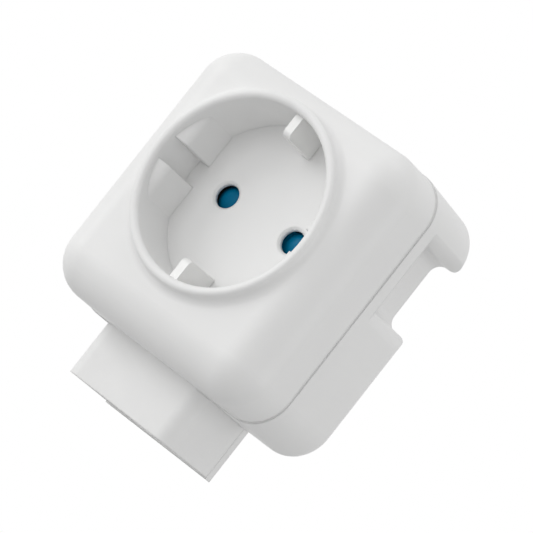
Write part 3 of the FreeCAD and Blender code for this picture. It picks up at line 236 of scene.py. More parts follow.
def wound(name, colour, turn=0.0005, axis=(0, 1, 0), rough=0.25):
    """Close turns of enamelled wire, seen as fine ribs."""
    made = Finish(name, {"Metallic": 0.6, "Coat Weight": 0.6, "Coat Roughness": 0.1})
    spot = made.place(tuple(part / turn for part in axis))
    ribs = made.node("ShaderNodeTexWave", {"bands_direction": "DIAGONAL", "wave_profile": "SIN"}, {
        "Vector": spot, "Scale": 0.32, "Distortion": 0.4}, "Fac")
    cloud = made.noise(0.003)
    # The colour is darker between the turns and lighter on their crests: painted shade and painted
    # highlight. The same ribs also drive the bump.
    tint = made.mix(ribs, shade(colour, 0.45), shade(colour, 1.1))
    return made.finish(tint, rough + (cloud - 0.5) * 0.2, height=ribs, depth=6e-5)


# Sizes and colours

class AdapterColours(bpy.types.PropertyGroup):
    """The colours that set how the adapter looks."""

    casing: FloatVectorProperty(
        name="Casing", description="White moulded casing", subtype="COLOR", size=3,
        min=0, max=1, default=(0.87, 0.87, 0.865))
    shutter: FloatVectorProperty(
        name="Shutter", description="Blue child-protection shutter", subtype="COLOR", size=3,
        min=0, max=1, default=(0.0, 0.155, 0.3))
    nickel: FloatVectorProperty(
        name="Nickel", description="Plated pins and earth contacts", subtype="COLOR", size=3,
        min=0, max=1, default=(0.66, 0.65, 0.62))


class AdapterSizes(bpy.types.PropertyGroup):
    """The sizes of the fine pieces."""

    dome_radius: FloatProperty(
        name="Shutter dome", description="Radius of a shutter's domed end", unit="LENGTH",
        min=0.001, default=0.003)
    earth_edge: FloatProperty(
        name="Earth edge", description="Rounding of the socket's earth strips", unit="LENGTH",
        min=0, default=0.0008)
    seam_depth: FloatProperty(
        name="Seam depth", description="How far the lip in the seam lies under the casing's side",
        unit="LENGTH", min=0, default=0.00005)


class AdapterView(bpy.types.PropertyGroup):
    """Where the photograph's camera stands, and how strong the lamps are."""

    target: FloatVectorProperty(
        name="Looks at", description="Point in the middle of the picture", subtype="TRANSLATION",
        unit="LENGTH", size=3, default=(0.00254, -0.02949, 0.00881))
    distance: FloatProperty(
        name="Distance", description="From the camera to that point", unit="LENGTH", default=0.7349)
    azimuth: FloatProperty(
        name="Azimuth", description="Turn to the right of the front", unit="ROTATION",
        default=math.radians(35.2553))
    elevation: FloatProperty(
        name="Elevation", description="Above the horizon", unit="ROTATION",
        default=math.radians(-3.5116))
    roll: FloatProperty(
        name="Roll", description="Turn of the picture", unit="ROTATION",
        default=math.radians(38.188))
    lens: FloatProperty(
        name="Lens", description="Focal length on a 36 mm wide picture", default=254.78)
    daylight: FloatProperty(
        name="Daylight", description="Even light from all sides", min=0, default=0.6)
    key: FloatProperty(
        name="Key lamp", description="Strength of the lamp at the front's left", unit="POWER",
        min=0, default=3.1)
    top: FloatProperty(
        name="Top lamp", description="Strength of the lamp above", unit="POWER", min=0, default=1.4)
    front: FloatProperty(
        name="Front lamp", description="Strength of the lamp before the socket", unit="POWER",
        min=0, default=2.1)
    fill: FloatProperty(
        name="Fill lamp", description="Strength of the lamp at the right", unit="POWER",
        min=0, default=1.7)
    floor_height: FloatProperty(
        name="Floor", description="Height of the floor under the plug's axis", unit="LENGTH",
        default=-0.2)


# Finishes

finishes = {}


def make_finishes(colours):
    """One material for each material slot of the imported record."""
    white = tuple(colours.casing)
    nickel = tuple(colours.nickel)
    return {
        "white_shell": moulded("white_shell", white, soft=0.0005),
        "earth_metal": metal("earth_metal", (0.9, 0.9, 0.89), 0.42, (1, 0.1, 1), metallic=0.1),
        "shutter_blue": moulded("shutter_blue", tuple(colours.shutter), 0.0006, 1.2e-5, 0.34, 0.1,
                                gleam=0.1),
        "spring_steel": metal("spring_steel", (0.5, 0.51, 0.53), 0.22),
        # inner_plastic is near black so that the space behind the shutter reads dark: painted shade.
        "inner_plastic": moulded("inner_plastic", (0.03, 0.03, 0.032), 0.0005, 6e-6, 0.5),
        "contact_brass": metal("contact_brass", (0.78, 0.6, 0.28), 0.26, (1, 0.1, 1)),
        "plug_plastic": moulded("plug_plastic", shade(white, 0.98)[:3], 0.0005, 7e-6, 0.48),
        "pin_nickel": metal("pin_nickel", nickel, 0.18, (1, 4, 1), 0.0008),
        "board_green": circuit_board("board_green", (0.012, 0.085, 0.03), (0.8, 0.68, 0.4)),
        "jack_plastic": moulded("jack_plastic", (0.012, 0.012, 0.013), 0.0005, 5e-6, 0.4),
        "shield_steel": metal("shield_steel", (0.66, 0.67, 0.68), 0.28, (0.1, 1, 1)),
        "gold_wire": metal("gold_wire", (0.88, 0.66, 0.28), 0.18, (1, 1, 0.1)),
        "button_plastic": moulded("button_plastic", shade(white, 0.9)[:3], 0.0004, 4e-6, 0.38),
        "switch_black": moulded("switch_black", (0.014, 0.014, 0.015), 0.0004, 5e-6, 0.42),
        "clear_guide": moulded("clear_guide", (0.78, 0.8, 0.8), 0.001, 2e-6, 0.12, 0.04, 0.5),
        "led_body": moulded("led_body", (0.75, 0.76, 0.7), 0.001, 3e-6, 0.25),
        "ferrite": coated("ferrite", (0.03, 0.03, 0.032), 0.6, 0.5, 0.0006),
        "winding_tape": coated("winding_tape", (0.72, 0.55, 0.08), 0.25, 0.1, 0.003),
        "capacitor_sleeve": coated("capacitor_sleeve", (0.015, 0.015, 0.02), 0.2, 0.05, 0.004),
        "film_yellow": coated("film_yellow", (0.75, 0.5, 0.05), 0.3, 0.15),
        "copper_wire": wound("copper_wire", (0.72, 0.27, 0.1), 0.0007, (1, 1, 1)),
        "fuse_brown": coated("fuse_brown", (0.1, 0.045, 0.025), 0.35, 0.2),
        "varistor_blue": coated("varistor_blue", (0.02, 0.08, 0.25), 0.35, 0.2),
        "chip_black": moulded("chip_black", (0.018, 0.018, 0.019), 0.0002, 4e-6, 0.55),
        "sink_aluminium": metal("sink_aluminium", (0.62, 0.63, 0.64), 0.4, (1, 1, 0.08)),
        "crystal_can": metal("crystal_can", (0.72, 0.72, 0.7), 0.2),
        "screw_steel": metal("screw_steel", (0.5, 0.5, 0.52), 0.24, (1, 0.3, 1)),
    }


class ADAPTER_OT_finishes(bpy.types.Operator):
    """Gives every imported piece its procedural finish"""

    bl_idname = "adapter.finishes"
    bl_label = "Finishes"

    def execute(self, context):
        finishes.update(make_finishes(context.scene.adapter_colours))
        for part in frame["record"]["subparts"]:
            node = nodes[part["node"]]
            finish = finishes[part["material_slot"]]
            if not node.material_slots:
                node.data.materials.append(finish)
            for place in node.material_slots:
                place.material = finish
        return {"FINISHED"}


# Mesh making

MM = 0.001


def add_piece(name, mesh, slot, body, replaced=()):
    """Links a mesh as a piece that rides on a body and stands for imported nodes."""
    mesh.materials.clear()
    mesh.materials.append(finishes[slot])
    piece = bpy.data.objects.new(name, mesh)
    bpy.context.scene.collection.objects.link(piece)
    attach(piece, body)
    if replaced:
        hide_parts(*replaced)
    return piece


def to_mesh(shape, name, smooth=35):
    """A mesh from millimetres, its faces outwards and its soft edges shaded smooth."""
    bmesh.ops.remove_doubles(shape, verts=shape.verts, dist=1e-4)
    bmesh.ops.recalc_face_normals(shape, faces=shape.faces)
    bmesh.ops.scale(shape, vec=(MM, MM, MM), verts=shape.verts)
    for face in shape.faces:
        face.smooth = True
    for edge in shape.edges:
        edge.smooth = edge.calc_face_angle(0) < math.radians(smooth)
    mesh = bpy.data.meshes.new(name)
    shape.to_mesh(mesh)
    shape.free()
    return mesh


def turn(shape, rings, centre, steps=48, axis="Y"):
    """Adds a shape turned about an axis along Y or Z: rings are (radius, level) from end to end."""
    def spot(a, b, level):
        return (a, level, b) if axis == "Y" else (a, b, level)
    rows = []
    for radius, level in rings:
        if radius == 0:
            rows.append([shape.verts.new(spot(centre[0], centre[1], level))])
            continue
        angles = [2 * math.pi * i / steps for i in range(steps)]
        circle = [(centre[0] + radius * math.cos(a), centre[1] + radius * math.sin(a)) for a in angles]
        rows.append([shape.verts.new(spot(a, b, level)) for a, b in circle])
    for near, far in zip(rows, rows[1:]):
        for i in range(steps):
            after = (i + 1) % steps
            corners = [near[i % len(near)], near[after % len(near)],
                       far[after % len(far)], far[i % len(far)]]
            shape.faces.new(list(dict.fromkeys(corners)))
    return rows


def slab(shape, outline, low, high, axis, bevel=0.0, segments=3):
    """Adds an outline drawn out along X, Y or Z, with all its edges rounded."""
    def spot(a, b, c):
        return {"X": (c, a, b), "Y": (a, c, b), "Z": (a, b, c)}[axis]
    ends = [[shape.verts.new(spot(a, b, level)) for a, b in outline] for level in (low, high)]
    faces = [shape.faces.new(ends[0]), shape.faces.new(ends[1])]
    count = len(outline)
    for i in range(count):
        after = (i + 1) % count
        faces.append(shape.faces.new((ends[0][i], ends[0][after], ends[1][after], ends[1][i])))
    if bevel:
        edges = list({edge for face in faces for edge in face.edges})
        sharp = [edge for edge in edges if edge.calc_face_angle(0) > math.radians(30)]
        bmesh.ops.recalc_face_normals(shape, faces=faces)
        bmesh.ops.bevel(shape, geom=sharp, offset=bevel, segments=segments, profile=0.5, affect="EDGES")


def rectangle(wide, high):
    """A rectangle's corners from its ends along both axes."""
    return [(wide[0], high[0]), (wide[1], high[0]), (wide[1], high[1]), (wide[0], high[1])]


def arc(centre, radius, first, last, steps=6):
    """Points on an arc, its angles in degrees."""
    spots = []
    for i in range(steps + 1):
        angle = math.radians(first + (last - first) * i / steps)
        spots.append((centre[0] + radius * math.cos(angle), centre[1] + radius * math.sin(angle)))
    return spots


def low_corner(node):
    return [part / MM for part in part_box(node)[0]]


def high_corner(node):
    return [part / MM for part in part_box(node)[1]]


# Geometry trees

class Growth(Network):
    """A geometry tree in the making, with named inputs. It ends in copies of a piece on spots."""

    KINDS = {"Geometry": "NodeSocketGeometry", "Spots": "NodeSocketObject",
             "Seed": "NodeSocketInt", "Finish": "NodeSocketMaterial"}

    def __init__(self, name, words):
        super().__init__(bpy.data.node_groups.new(name, "GeometryNodeTree"))
        self.tree.interface.new_socket("Geometry", in_out="OUTPUT", socket_type="NodeSocketGeometry")
        for word in tuple(self.KINDS) + words:
            self.tree.interface.new_socket(
                word, in_out="INPUT", socket_type=self.KINDS.get(word, "NodeSocketFloat"))
        self.entry = self.tree.nodes.new("NodeGroupInput")

    def given(self, word):
        return Wire(self.tree, self.entry.outputs[word])

    def moved(self, piece, rise, turned=(0, 0, 0)):
        """A piece turned and then moved along Z."""
        shift = self.node("ShaderNodeCombineXYZ", {}, {"Z": rise})
        return self.node("GeometryNodeTransform", {}, {
            "Geometry": piece, "Translation": shift, "Rotation": turned})

    def joined(self, pieces):
        node = self.tree.nodes.new("GeometryNodeJoinGeometry")
        for piece in pieces:
            self.tree.links.new(piece.socket, node.inputs[0])
        return Wire(self.tree, node.outputs[0])

    def copies(self, piece, unequal=0.0):
        """Ends the tree with the piece on every spot, turned as the spot's facing says."""
        spots = self.node("GeometryNodeObjectInfo", {}, {"Object": self.given("Spots")}, "Geometry")
        facing = self.node("GeometryNodeInputNamedAttribute", {"data_type": "FLOAT_VECTOR"},
                           {"Name": "facing"}, "Attribute")
        facing = self.node("FunctionNodeEulerToRotation", {}, {"Euler": facing})
        size = self.node("FunctionNodeRandomValue", {"data_type": "FLOAT"}, {
            2: 1 - unequal, 3: 1.0, "Seed": self.given("Seed")}, 1)
        placed = self.node("GeometryNodeInstanceOnPoints", {}, {
            "Points": spots, "Instance": piece, "Rotation": facing, "Scale": size})
        plain = self.node("GeometryNodeRealizeInstances", {}, {"Geometry": placed})
        plain = self.node("GeometryNodeSetMaterial", {}, {
            "Geometry": plain, "Material": self.given("Finish")})
        join(self.tree, plain, self.tree.nodes.new("NodeGroupOutput").inputs[0])
        return self.tree


def screw_tree():
    """Screws along Z: the base mesh is the head, cut with a cross; the shaft has a real thread."""
    made = Growth("screws", ("Head radius", "Head height", "Shaft radius", "Length", "Pitch"))
    head_r, head_high = made.given("Head radius"), made.given("Head height")
    shaft_r, long, pitch = made.given("Shaft radius"), made.given("Length"), made.given("Pitch")
    head = made.given("Geometry")
    for wide, deep in ((1.24, 0.26), (0.26, 1.24)):
        size = made.node("ShaderNodeCombineXYZ", {}, {
            "X": head_r * wide, "Y": head_r * deep, "Z": head_high})
        slot = made.moved(made.node("GeometryNodeMeshCube", {}, {"Size": size}), head_high * 0.9)
        head = made.node("GeometryNodeMeshBoolean", {"operation": "DIFFERENCE"}, {0: head, 1: slot})
    tip = shaft_r * 0.9
    core = made.node("GeometryNodeMeshCylinder", {}, {
        "Vertices": 20, "Radius": shaft_r * 0.82, "Depth": long - tip}, "Mesh")
    end = made.node("GeometryNodeMeshCone", {}, {
        "Vertices": 20, "Radius Top": shaft_r * 0.2, "Radius Bottom": shaft_r * 0.82,
        "Depth": tip}, "Mesh")
    path = made.node("GeometryNodeCurveSpiral", {}, {
        "Resolution": 20, "Rotations": (long - tip) / pitch - 1, "Start Radius": shaft_r * 0.84,
        "End Radius": shaft_r * 0.84, "Height": long - tip - pitch})
    ridge = made.node("GeometryNodeCurvePrimitiveCircle", {}, {
        "Resolution": 3, "Radius": shaft_r * 0.16})
    thread = made.node("GeometryNodeCurveToMesh", {}, {
        "Curve": path, "Profile Curve": ridge, "Fill Caps": True})
    return made.copies(made.joined([
        head, made.moved(core, (tip - long) * 0.5), made.moved(end, tip - long, (math.pi, 0, 0)),
        made.moved(thread, tip - long + pitch * 0.5)]))


def wire_tree():
    """Bent wires and strips: the base mesh's line is the path, and Bend rounds its corners."""
    made = Growth("wires", ("Wide", "Thick", "Edge", "Bend"))
    path = made.node("GeometryNodeMeshToCurve", {}, {"Mesh": made.given("Geometry")})
    section = made.node("GeometryNodeCurvePrimitiveQuadrilateral", {}, {
        "Width": made.given("Wide"), "Height": made.given("Thick")})
    path = made.node("GeometryNodeFilletCurve", {"mode": "POLY"}, {
        "Curve": path, "Count": 5, "Radius": made.given("Bend"), "Limit Radius": True})
    section = made.node("GeometryNodeFilletCurve", {"mode": "POLY"}, {
        "Curve": section, "Count": 2, "Radius": made.given("Edge"), "Limit Radius": True})
    return made.copies(made.node("GeometryNodeCurveToMesh", {}, {
        "Curve": path, "Profile Curve": section, "Fill Caps": True}))


def copy_tree():
    """Copies of the base mesh, which differ a little in size."""
    made = Growth("copies", ("Unequal",))
    return made.copies(made.given("Geometry"), made.given("Unequal"))


def line_mesh(points):
    """A path through points in millimetres."""
    mesh = bpy.data.meshes.new("path")
    mesh.from_pydata([Vector(point) * MM for point in points],
                     [(i, i + 1) for i in range(len(points) - 1)], [])
    return mesh


def grow(name, tree, base, places, slot, values):
    """A plain mesh of copies on places: (x, y, z) in millimetres and the copy's turn in degrees."""
    marks = bpy.data.meshes.new(name + "_spots")
    marks.from_pydata([Vector(place) * MM for place, turned in places], [], [])
    facing = marks.attributes.new("facing", "FLOAT_VECTOR", "POINT")
    for datum, (place, turned) in zip(facing.data, places):
        datum.vector = [math.radians(angle) for angle in turned]
    spots = bpy.data.objects.new(name + "_spots", marks)
    holder = bpy.data.objects.new(name + "_base", base)
    for made in (spots, holder):
        bpy.context.scene.collection.objects.link(made)
    modifier = holder.modifiers.new("growth", "NODES")
    modifier.node_group = tree
    inputs = dict(values, Spots=spots, Seed=7, Finish=finishes[slot])
    for socket in tree.interface.items_tree:
        if socket.in_out == "INPUT" and socket.name in inputs:
            modifier[socket.identifier] = inputs[socket.name]
    graph = bpy.context.evaluated_depsgraph_get()
    mesh = bpy.data.meshes.new_from_object(holder.evaluated_get(graph), depsgraph=graph)
    mesh.name = name
    holder.modifiers.remove(modifier)
    for made in (spots, holder):
        bpy.data.objects.remove(made)
    mesh.shade_smooth()
    mesh.set_sharp_from_angle(angle=math.radians(35))
    return mesh


# Shutter and socket contacts

# Places and sizes that part.py has under like words, in millimetres.
SOCKET_Z = 14.9      # socket axis above the plug's
PIN_AT = 9.5         # pin hole from the socket axis
FLOOR_Y = -38.0      # the recess's floor
PIVOT_HOLE = 1.26    # radius of the hole in the shutter
EARTH_NOSE = 1.3     # rounding of an earth strip's front corner
EARTH_TAIL = 2.6     # from a strip's inner face to its tail's outer face

DOME_RINGS = 10
DOME_LEAN = (0.75, 0.8)   # how far a dome's top stands to the right and up
ARM_HALF = 2.1
FOOT_WIDER = 0.08   # a strip's foot nearly fills its slot, which has 0.1 mm to spare


class ADAPTER_OT_shutter(bpy.types.Operator):
    """Blue shutter with domed ends behind the pin holes"""

    bl_idname = "adapter.shutter"
    bl_label = "Shutter"

    def execute(self, context):
        front, back = low_corner("shutter")[1], high_corner("shutter")[1]
        reach = context.scene.adapter_sizes.dome_radius / MM
        shape = bmesh.new()
        for side in (-1, 1):
            rings = [(0, front)]
            rings += [(reach * i / DOME_RINGS, front + (back - front - 0.2) * (i / DOME_RINGS) ** 2.1)
                      for i in range(1, DOME_RINGS + 1)]
            rings += [(reach, back - 0.1), (reach - 0.1, back), (0, back)]
            rows = turn(shape, rings, (PIN_AT * side, SOCKET_Z))
            for row in rows[:DOME_RINGS + 1]:
                for vert in row:
                    height = (back - vert.co.y) / (back - front)
                    vert.co.x += DOME_LEAN[0] * height ** 2
                    vert.co.z += DOME_LEAN[1] * height ** 2
        hub = high_corner("shutter_spring")[0] + 0.8
        turn(shape, [(PIVOT_HOLE, front), (hub - 0.2, front), (hub, front + 0.2), (hub, back - 0.15),
                     (hub - 0.15, back), (PIVOT_HOLE, back), (PIVOT_HOLE, front)], (0, SOCKET_Z))
        for side in (-1, 1):
            ends = sorted((side * 2.4, side * (PIN_AT - 1.2)))
            slab(shape, rectangle(ends, (SOCKET_Z - ARM_HALF, SOCKET_Z + ARM_HALF)),
                 front + 0.95, back, "Y", 0.15)
        mesh = to_mesh(shape, "shutter_blades")
        add_piece("shutter_blades", mesh, "shutter_blue", "shutter_plate", ["shutter"])
        return {"FINISHED"}


class ADAPTER_OT_socket_earths(bpy.types.Operator):
    """Rounded earth strips at the top and bottom of the socket's recess"""

    bl_idname = "adapter.socket_earths"
    bl_label = "Socket earths"

    def execute(self, context):
        soft = context.scene.adapter_sizes.earth_edge / MM
        for name, side in (("socket_earth_upper", 1), ("socket_earth_lower", -1)):
            low, high = low_corner(name), high_corner(name)
            inner, outer = (low[2], high[2]) if side > 0 else (high[2], low[2])
            corner = arc((low[1] + EARTH_NOSE, inner + EARTH_NOSE * side), EARTH_NOSE,
                         180, 180 + 90 * side, 8)
            outline = corner + [(FLOOR_Y + 0.4, inner), (FLOOR_Y + 0.4, outer), (low[1], outer)]
            shape = bmesh.new()
            slab(shape, outline, low[0], high[0], "X", soft, 4)
            tail = inner + EARTH_TAIL * side
            slab(shape, rectangle((FLOOR_Y + 0.2, high[1]), (inner, tail)), low[0], high[0], "X", 0.15)
            foot = (inner - FOOT_WIDER * side, tail + FOOT_WIDER * side)
            slab(shape, rectangle((FLOOR_Y + 0.04, FLOOR_Y + 0.8), foot),
                 low[0] - FOOT_WIDER, high[0] + FOOT_WIDER, "X")
            add_piece(name + "_strip", to_mesh(shape, name + "_strip"), "earth_metal", "casing", [name])
        return {"FINISHED"}


# Fastenings

# A group of screws, in millimetres: the plane its heads stand on, the turn about X that points
# them the way they are driven, and where they stand: (x, z, twist of the cross recess).
Screws = namedtuple("Screws", "plane driven spots head_radius head_height shaft_radius length pitch")
FROM_BEHIND, FROM_FRONT = -90, 90
SCREWS = {
    "casing_screws": Screws(-26.8, FROM_BEHIND, (
        (-21.6, -11.8, -31), (21.6, -11.8, 31), (-20.0, 34.5, -17), (20.0, 34.5, 17)),
        2.6, 1.9, 1.4, 13.0, 1.3),
    "board_screws": Screws(-18.2, FROM_FRONT, (
        (23.2, 9.1, 20), (-23.2, 9.1, 65), (-15.0, 26.1, 40)), 1.9, 1.2, 1.0, 4.7, 0.8),
    "plug_screws": Screws(-14.5, FROM_FRONT, (
        (-11.6, -11.6, 12), (11.6, 11.6, 50)), 1.9, 1.2, 1.0, 8.0, 0.8),
}


def head_mesh(radius, height):
    """A low domed head that stands on z = 0."""
    shape = bmesh.new()
    rings = [(0, 0), (radius * 0.94, 0), (radius, height * 0.14), (radius, height * 0.42)]
    rings += [(radius * math.cos(math.radians(a)), height * (0.42 + 0.58 * math.sin(math.radians(a))))
              for a in range(15, 90, 15)]
    rings.append((0, height))
    turn(shape, rings, (0, 0), 40, "Z")
    return to_mesh(shape, "head")


class ADAPTER_OT_screws(bpy.types.Operator):
    """Cross-recessed screws of the casing, the board and the plug"""

    bl_idname = "adapter.screws"
    bl_label = "Screws"

    def execute(self, context):
        tree = screw_tree()
        for name, kind in SCREWS.items():
            places = [((x, kind.plane, z), (kind.driven, twist, 0)) for x, z, twist in kind.spots]
            head = head_mesh(kind.head_radius, kind.head_height)
            mesh = grow(name + "_made", tree, head, places, "screw_steel", {
                "Head radius": kind.head_radius * MM, "Head height": kind.head_height * MM,
                "Shaft radius": kind.shaft_radius * MM, "Length": kind.length * MM,
                "Pitch": kind.pitch * MM})
            add_piece(name + "_made", mesh, "screw_steel", "casing", [name])
        return {"FINISHED"}


SEAM_GAP = 0.3
CORNER_ROUND = 8.4   # the casing's corners, seen from the front
LIP_INSIDE = 1.6     # how deep the lip reaches into the seam


class ADAPTER_OT_seam(bpy.types.Operator):
    """The rear shell's lip, which closes the seam between the shells almost flush"""

    bl_idname = "adapter.seam"
    bl_label = "Seam"

    def execute(self, context):
        sunk = context.scene.adapter_sizes.seam_depth / MM
        low, high = low_corner("front_shell"), high_corner("front_shell")
        seam = low_corner("rear_shell")[1]
        shape = bmesh.new()
        rings = []
        front, back = seam - SEAM_GAP - 0.02, seam + 0.1
        for inset, y in ((sunk, front), (sunk, back), (LIP_INSIDE, back), (LIP_INSIDE, front)):
            reach = CORNER_ROUND - inset
            ring = []
            for x, z, first in ((1, 1, 0), (0, 1, 90), (0, 0, 180), (1, 0, 270)):
                centre = (high[0] - CORNER_ROUND if x else low[0] + CORNER_ROUND,
                          high[2] - CORNER_ROUND if z else low[2] + CORNER_ROUND)
                ring += [shape.verts.new((a, y, b))
                         for a, b in arc(centre, reach, first, first + 90, 16)]
            rings.append(ring)
        for near, far in zip(rings, rings[1:] + rings[:1]):
            for i in range(len(near)):
                after = (i + 1) % len(near)
                shape.faces.new((near[i], near[after], far[after], far[i]))
        add_piece("seam_lip", to_mesh(shape, "seam_lip"), "white_shell", "casing")
        return {"FINISHED"}


# Plug

def ribbon(shape, path, thick, low, high, bevel):
    """A strip along a path in the XY plane, from low to high along Z."""
    sides = ([], [])
    for i, (x, y) in enumerate(path):
        before, after = path[max(i - 1, 0)], path[min(i + 1, len(path) - 1)]
        along = Vector((after[0] - before[0], after[1] - before[1])).normalized()
        for side, sign in zip(sides, (-0.5, 0.5)):
            side.append((x - along.y * thick * sign, y + along.x * thick * sign))
    slab(shape, sides[0] + sides[1][::-1], low, high, "Z", bevel, 2)


CLIP_THICK = 0.6
BOW_STEPS = 20


class ADAPTER_OT_plug_earths(bpy.types.Operator):
    """Bowed spring strips in the grooves of the plug"""

    bl_idname = "adapter.plug_earths"
    bl_label = "Plug earths"

    def execute(self, context):
        for name in ("plug_earth_left", "plug_earth_right"):
            low, high = low_corner(name), high_corner(name)
            side = -1 if high[0] < 0 else 1
            inner, outer = (abs(low[0]), abs(high[0])) if side > 0 else (abs(high[0]), abs(low[0]))
            thick = CLIP_THICK
            rear = high_corner("rear_shell")[1]
            path = [(inner + thick / 2, low[1]), (inner + thick / 2, rear + 0.2)]
            run = high[1] - rear - 0.9
            for i in range(1, BOW_STEPS + 1):
                part = i / BOW_STEPS
                bow = math.sin(math.pi * min(part * 1.08, 1.0)) ** 0.8
                path.append((inner + thick / 2 + (outer - inner - thick) * bow,
                             rear + 0.4 + run * part))
            path.append((inner + thick / 2 - 0.35, high[1] - 0.1))
            shape = bmesh.new()
            ribbon(shape, [(x * side, y) for x, y in path], thick, low[2], high[2], 0.12)
            add_piece(name + "_strip", to_mesh(shape, name + "_strip"), "pin_nickel", "casing", [name])
        return {"FINISHED"}


# Network port

JACK_WIRES = 8
JACK_WIRE = 0.45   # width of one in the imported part


class ADAPTER_OT_jack_wires(bpy.types.Operator):
    """Eight gilt contact wires in the network jack, each bent back into its mouth"""

    bl_idname = "adapter.jack_wires"
    bl_label = "Jack wires"

    def execute(self, context):
        low, high = low_corner("jack_contacts"), high_corner("jack_contacts")
        pitch = (high[0] - low[0] - JACK_WIRE) / (JACK_WIRES - 1)
        mouth = low[2] - high[2]
        path = line_mesh([(0, 0.25, 0), (0, 0.25, mouth), (0, 0.95, mouth), (0, 3.1, mouth + 7.2),
                          (0, 3.3, mouth + 9.4)])
        places = [((low[0] + JACK_WIRE / 2 + pitch * i, low[1], high[2]), (0, 0, 0))
                  for i in range(JACK_WIRES)]
        wide = (JACK_WIRE - 0.03) * MM
        mesh = grow("jack_wires", wire_tree(), path, places, "gold_wire", {
            "Wide": wide, "Thick": wide, "Edge": 0.17 * MM, "Bend": 0.5 * MM})
        add_piece("jack_wires", mesh, "gold_wire", "casing", ["jack_contacts"])
        return {"FINISHED"}


class ADAPTER_OT_light_lens(bpy.types.Operator):
    """Light guide with a domed lens at the port box's underside"""

    bl_idname = "adapter.light_lens"
    bl_label = "Light lens"

    def execute(self, context):
        low, high = low_corner("light_guide"), high_corner("light_guide")
        reach = (high[0] - low[0]) / 2
        shape = bmesh.new()
        rings = [(0, high[2]), (reach - 0.1, high[2]), (reach, high[2] - 0.1), (reach, low[2] + 0.1)]
        rings += [(reach * math.cos(math.radians(a)), low[2] + 0.1 - 0.3 * math.sin(math.radians(a)))
                  for a in range(15, 90, 15)]
        rings.append((0, low[2] - 0.2))
        turn(shape, rings, ((low[0] + high[0]) / 2, (low[1] + high[1]) / 2), 32, "Z")
        add_piece("light_lens", to_mesh(shape, "light_lens"), "clear_guide", "casing", ["light_guide"])
        return {"FINISHED"}


# Board

CHOKE_WIRE = 0.7
CHOKE_HOLE = 2.2   # radius of the hole in the ring core
CHOKE_TURNS = 8    # in each of its two windings
TURN_STEP = 17.5   # degrees between turns


class ADAPTER_OT_choke(bpy.types.Operator):
    """Two windings of enamelled wire round the ring core of the line choke"""

    bl_idname = "adapter.choke"
    bl_label = "Choke windings"

    def execute(self, context):
        low, high = low_corner("line_choke_core"), high_corner("line_choke_core")
        wire = CHOKE_WIRE
        centre = ((low[0] + high[0]) / 2, high[1], (low[2] + high[2]) / 2)
        outer = (high[0] - low[0]) / 2 + wire / 2
        top = low[1] - high[1] - wire / 2
        inner = CHOKE_HOLE - wire / 2
        path = line_mesh([(outer, 0, 0), (outer, top, 0), (inner, top, 0), (inner, -0.2, 0)])
        places = [(centre, (0, start + TURN_STEP * i, 0)) for start in (-61, 119)
                  for i in range(CHOKE_TURNS)]
        mesh = grow("choke_turns", wire_tree(), path, places, "copper_wire", {
            "Wide": wire * MM, "Thick": wire * MM, "Edge": wire * 0.45 * MM, "Bend": 0.6 * MM})
        add_piece("choke_turns", mesh, "copper_wire", "casing", ["line_choke_windings"])
        return {"FINISHED"}


# Where the leads of a part come through the board, as shares of its width and height.
LEADS = {
    "bulk_capacitors": ((0.5, 0.16), (0.5, 0.36), (0.5, 0.64), (0.5, 0.84)),
    "suppression_capacitor": ((0.5, 0.08), (0.5, 0.92)),
    "line_choke_core": ((0.15, 0.15), (0.85, 0.15), (0.15, 0.85), (0.85, 0.85)),
    "transformer_winding": ((0.1, 0.1), (0.5, 0.1), (0.9, 0.1), (0.1, 0.9), (0.5, 0.9), (0.9, 0.9)),
    "fuse": ((0.5, 0.2), (0.5, 0.8)),
    "varistor": ((0.5, 0.1), (0.5, 0.9)),
    "coupling_transformer": ((0.12, 0.12), (0.88, 0.12), (0.12, 0.88), (0.88, 0.88)),
    "jack_housing": tuple((0.2 + 0.085 * i, 0.86 + 0.08 * (i % 2)) for i in range(8)),
}

# Rows of chip resistors: where along X, turned by, and where along Z.
RESISTORS = [(16.4, 0, (21.6, 23.9, 26.2, 28.5)), (18.5, 90, (21.6, 23.9, 26.2, 28.5)),
             (0.6, 0, (22.0, 24.5, 27.0, 29.5)), (14.0, 0, (-11.6, -9.2)), (16.4, 0, (-11.6, -9.2))]


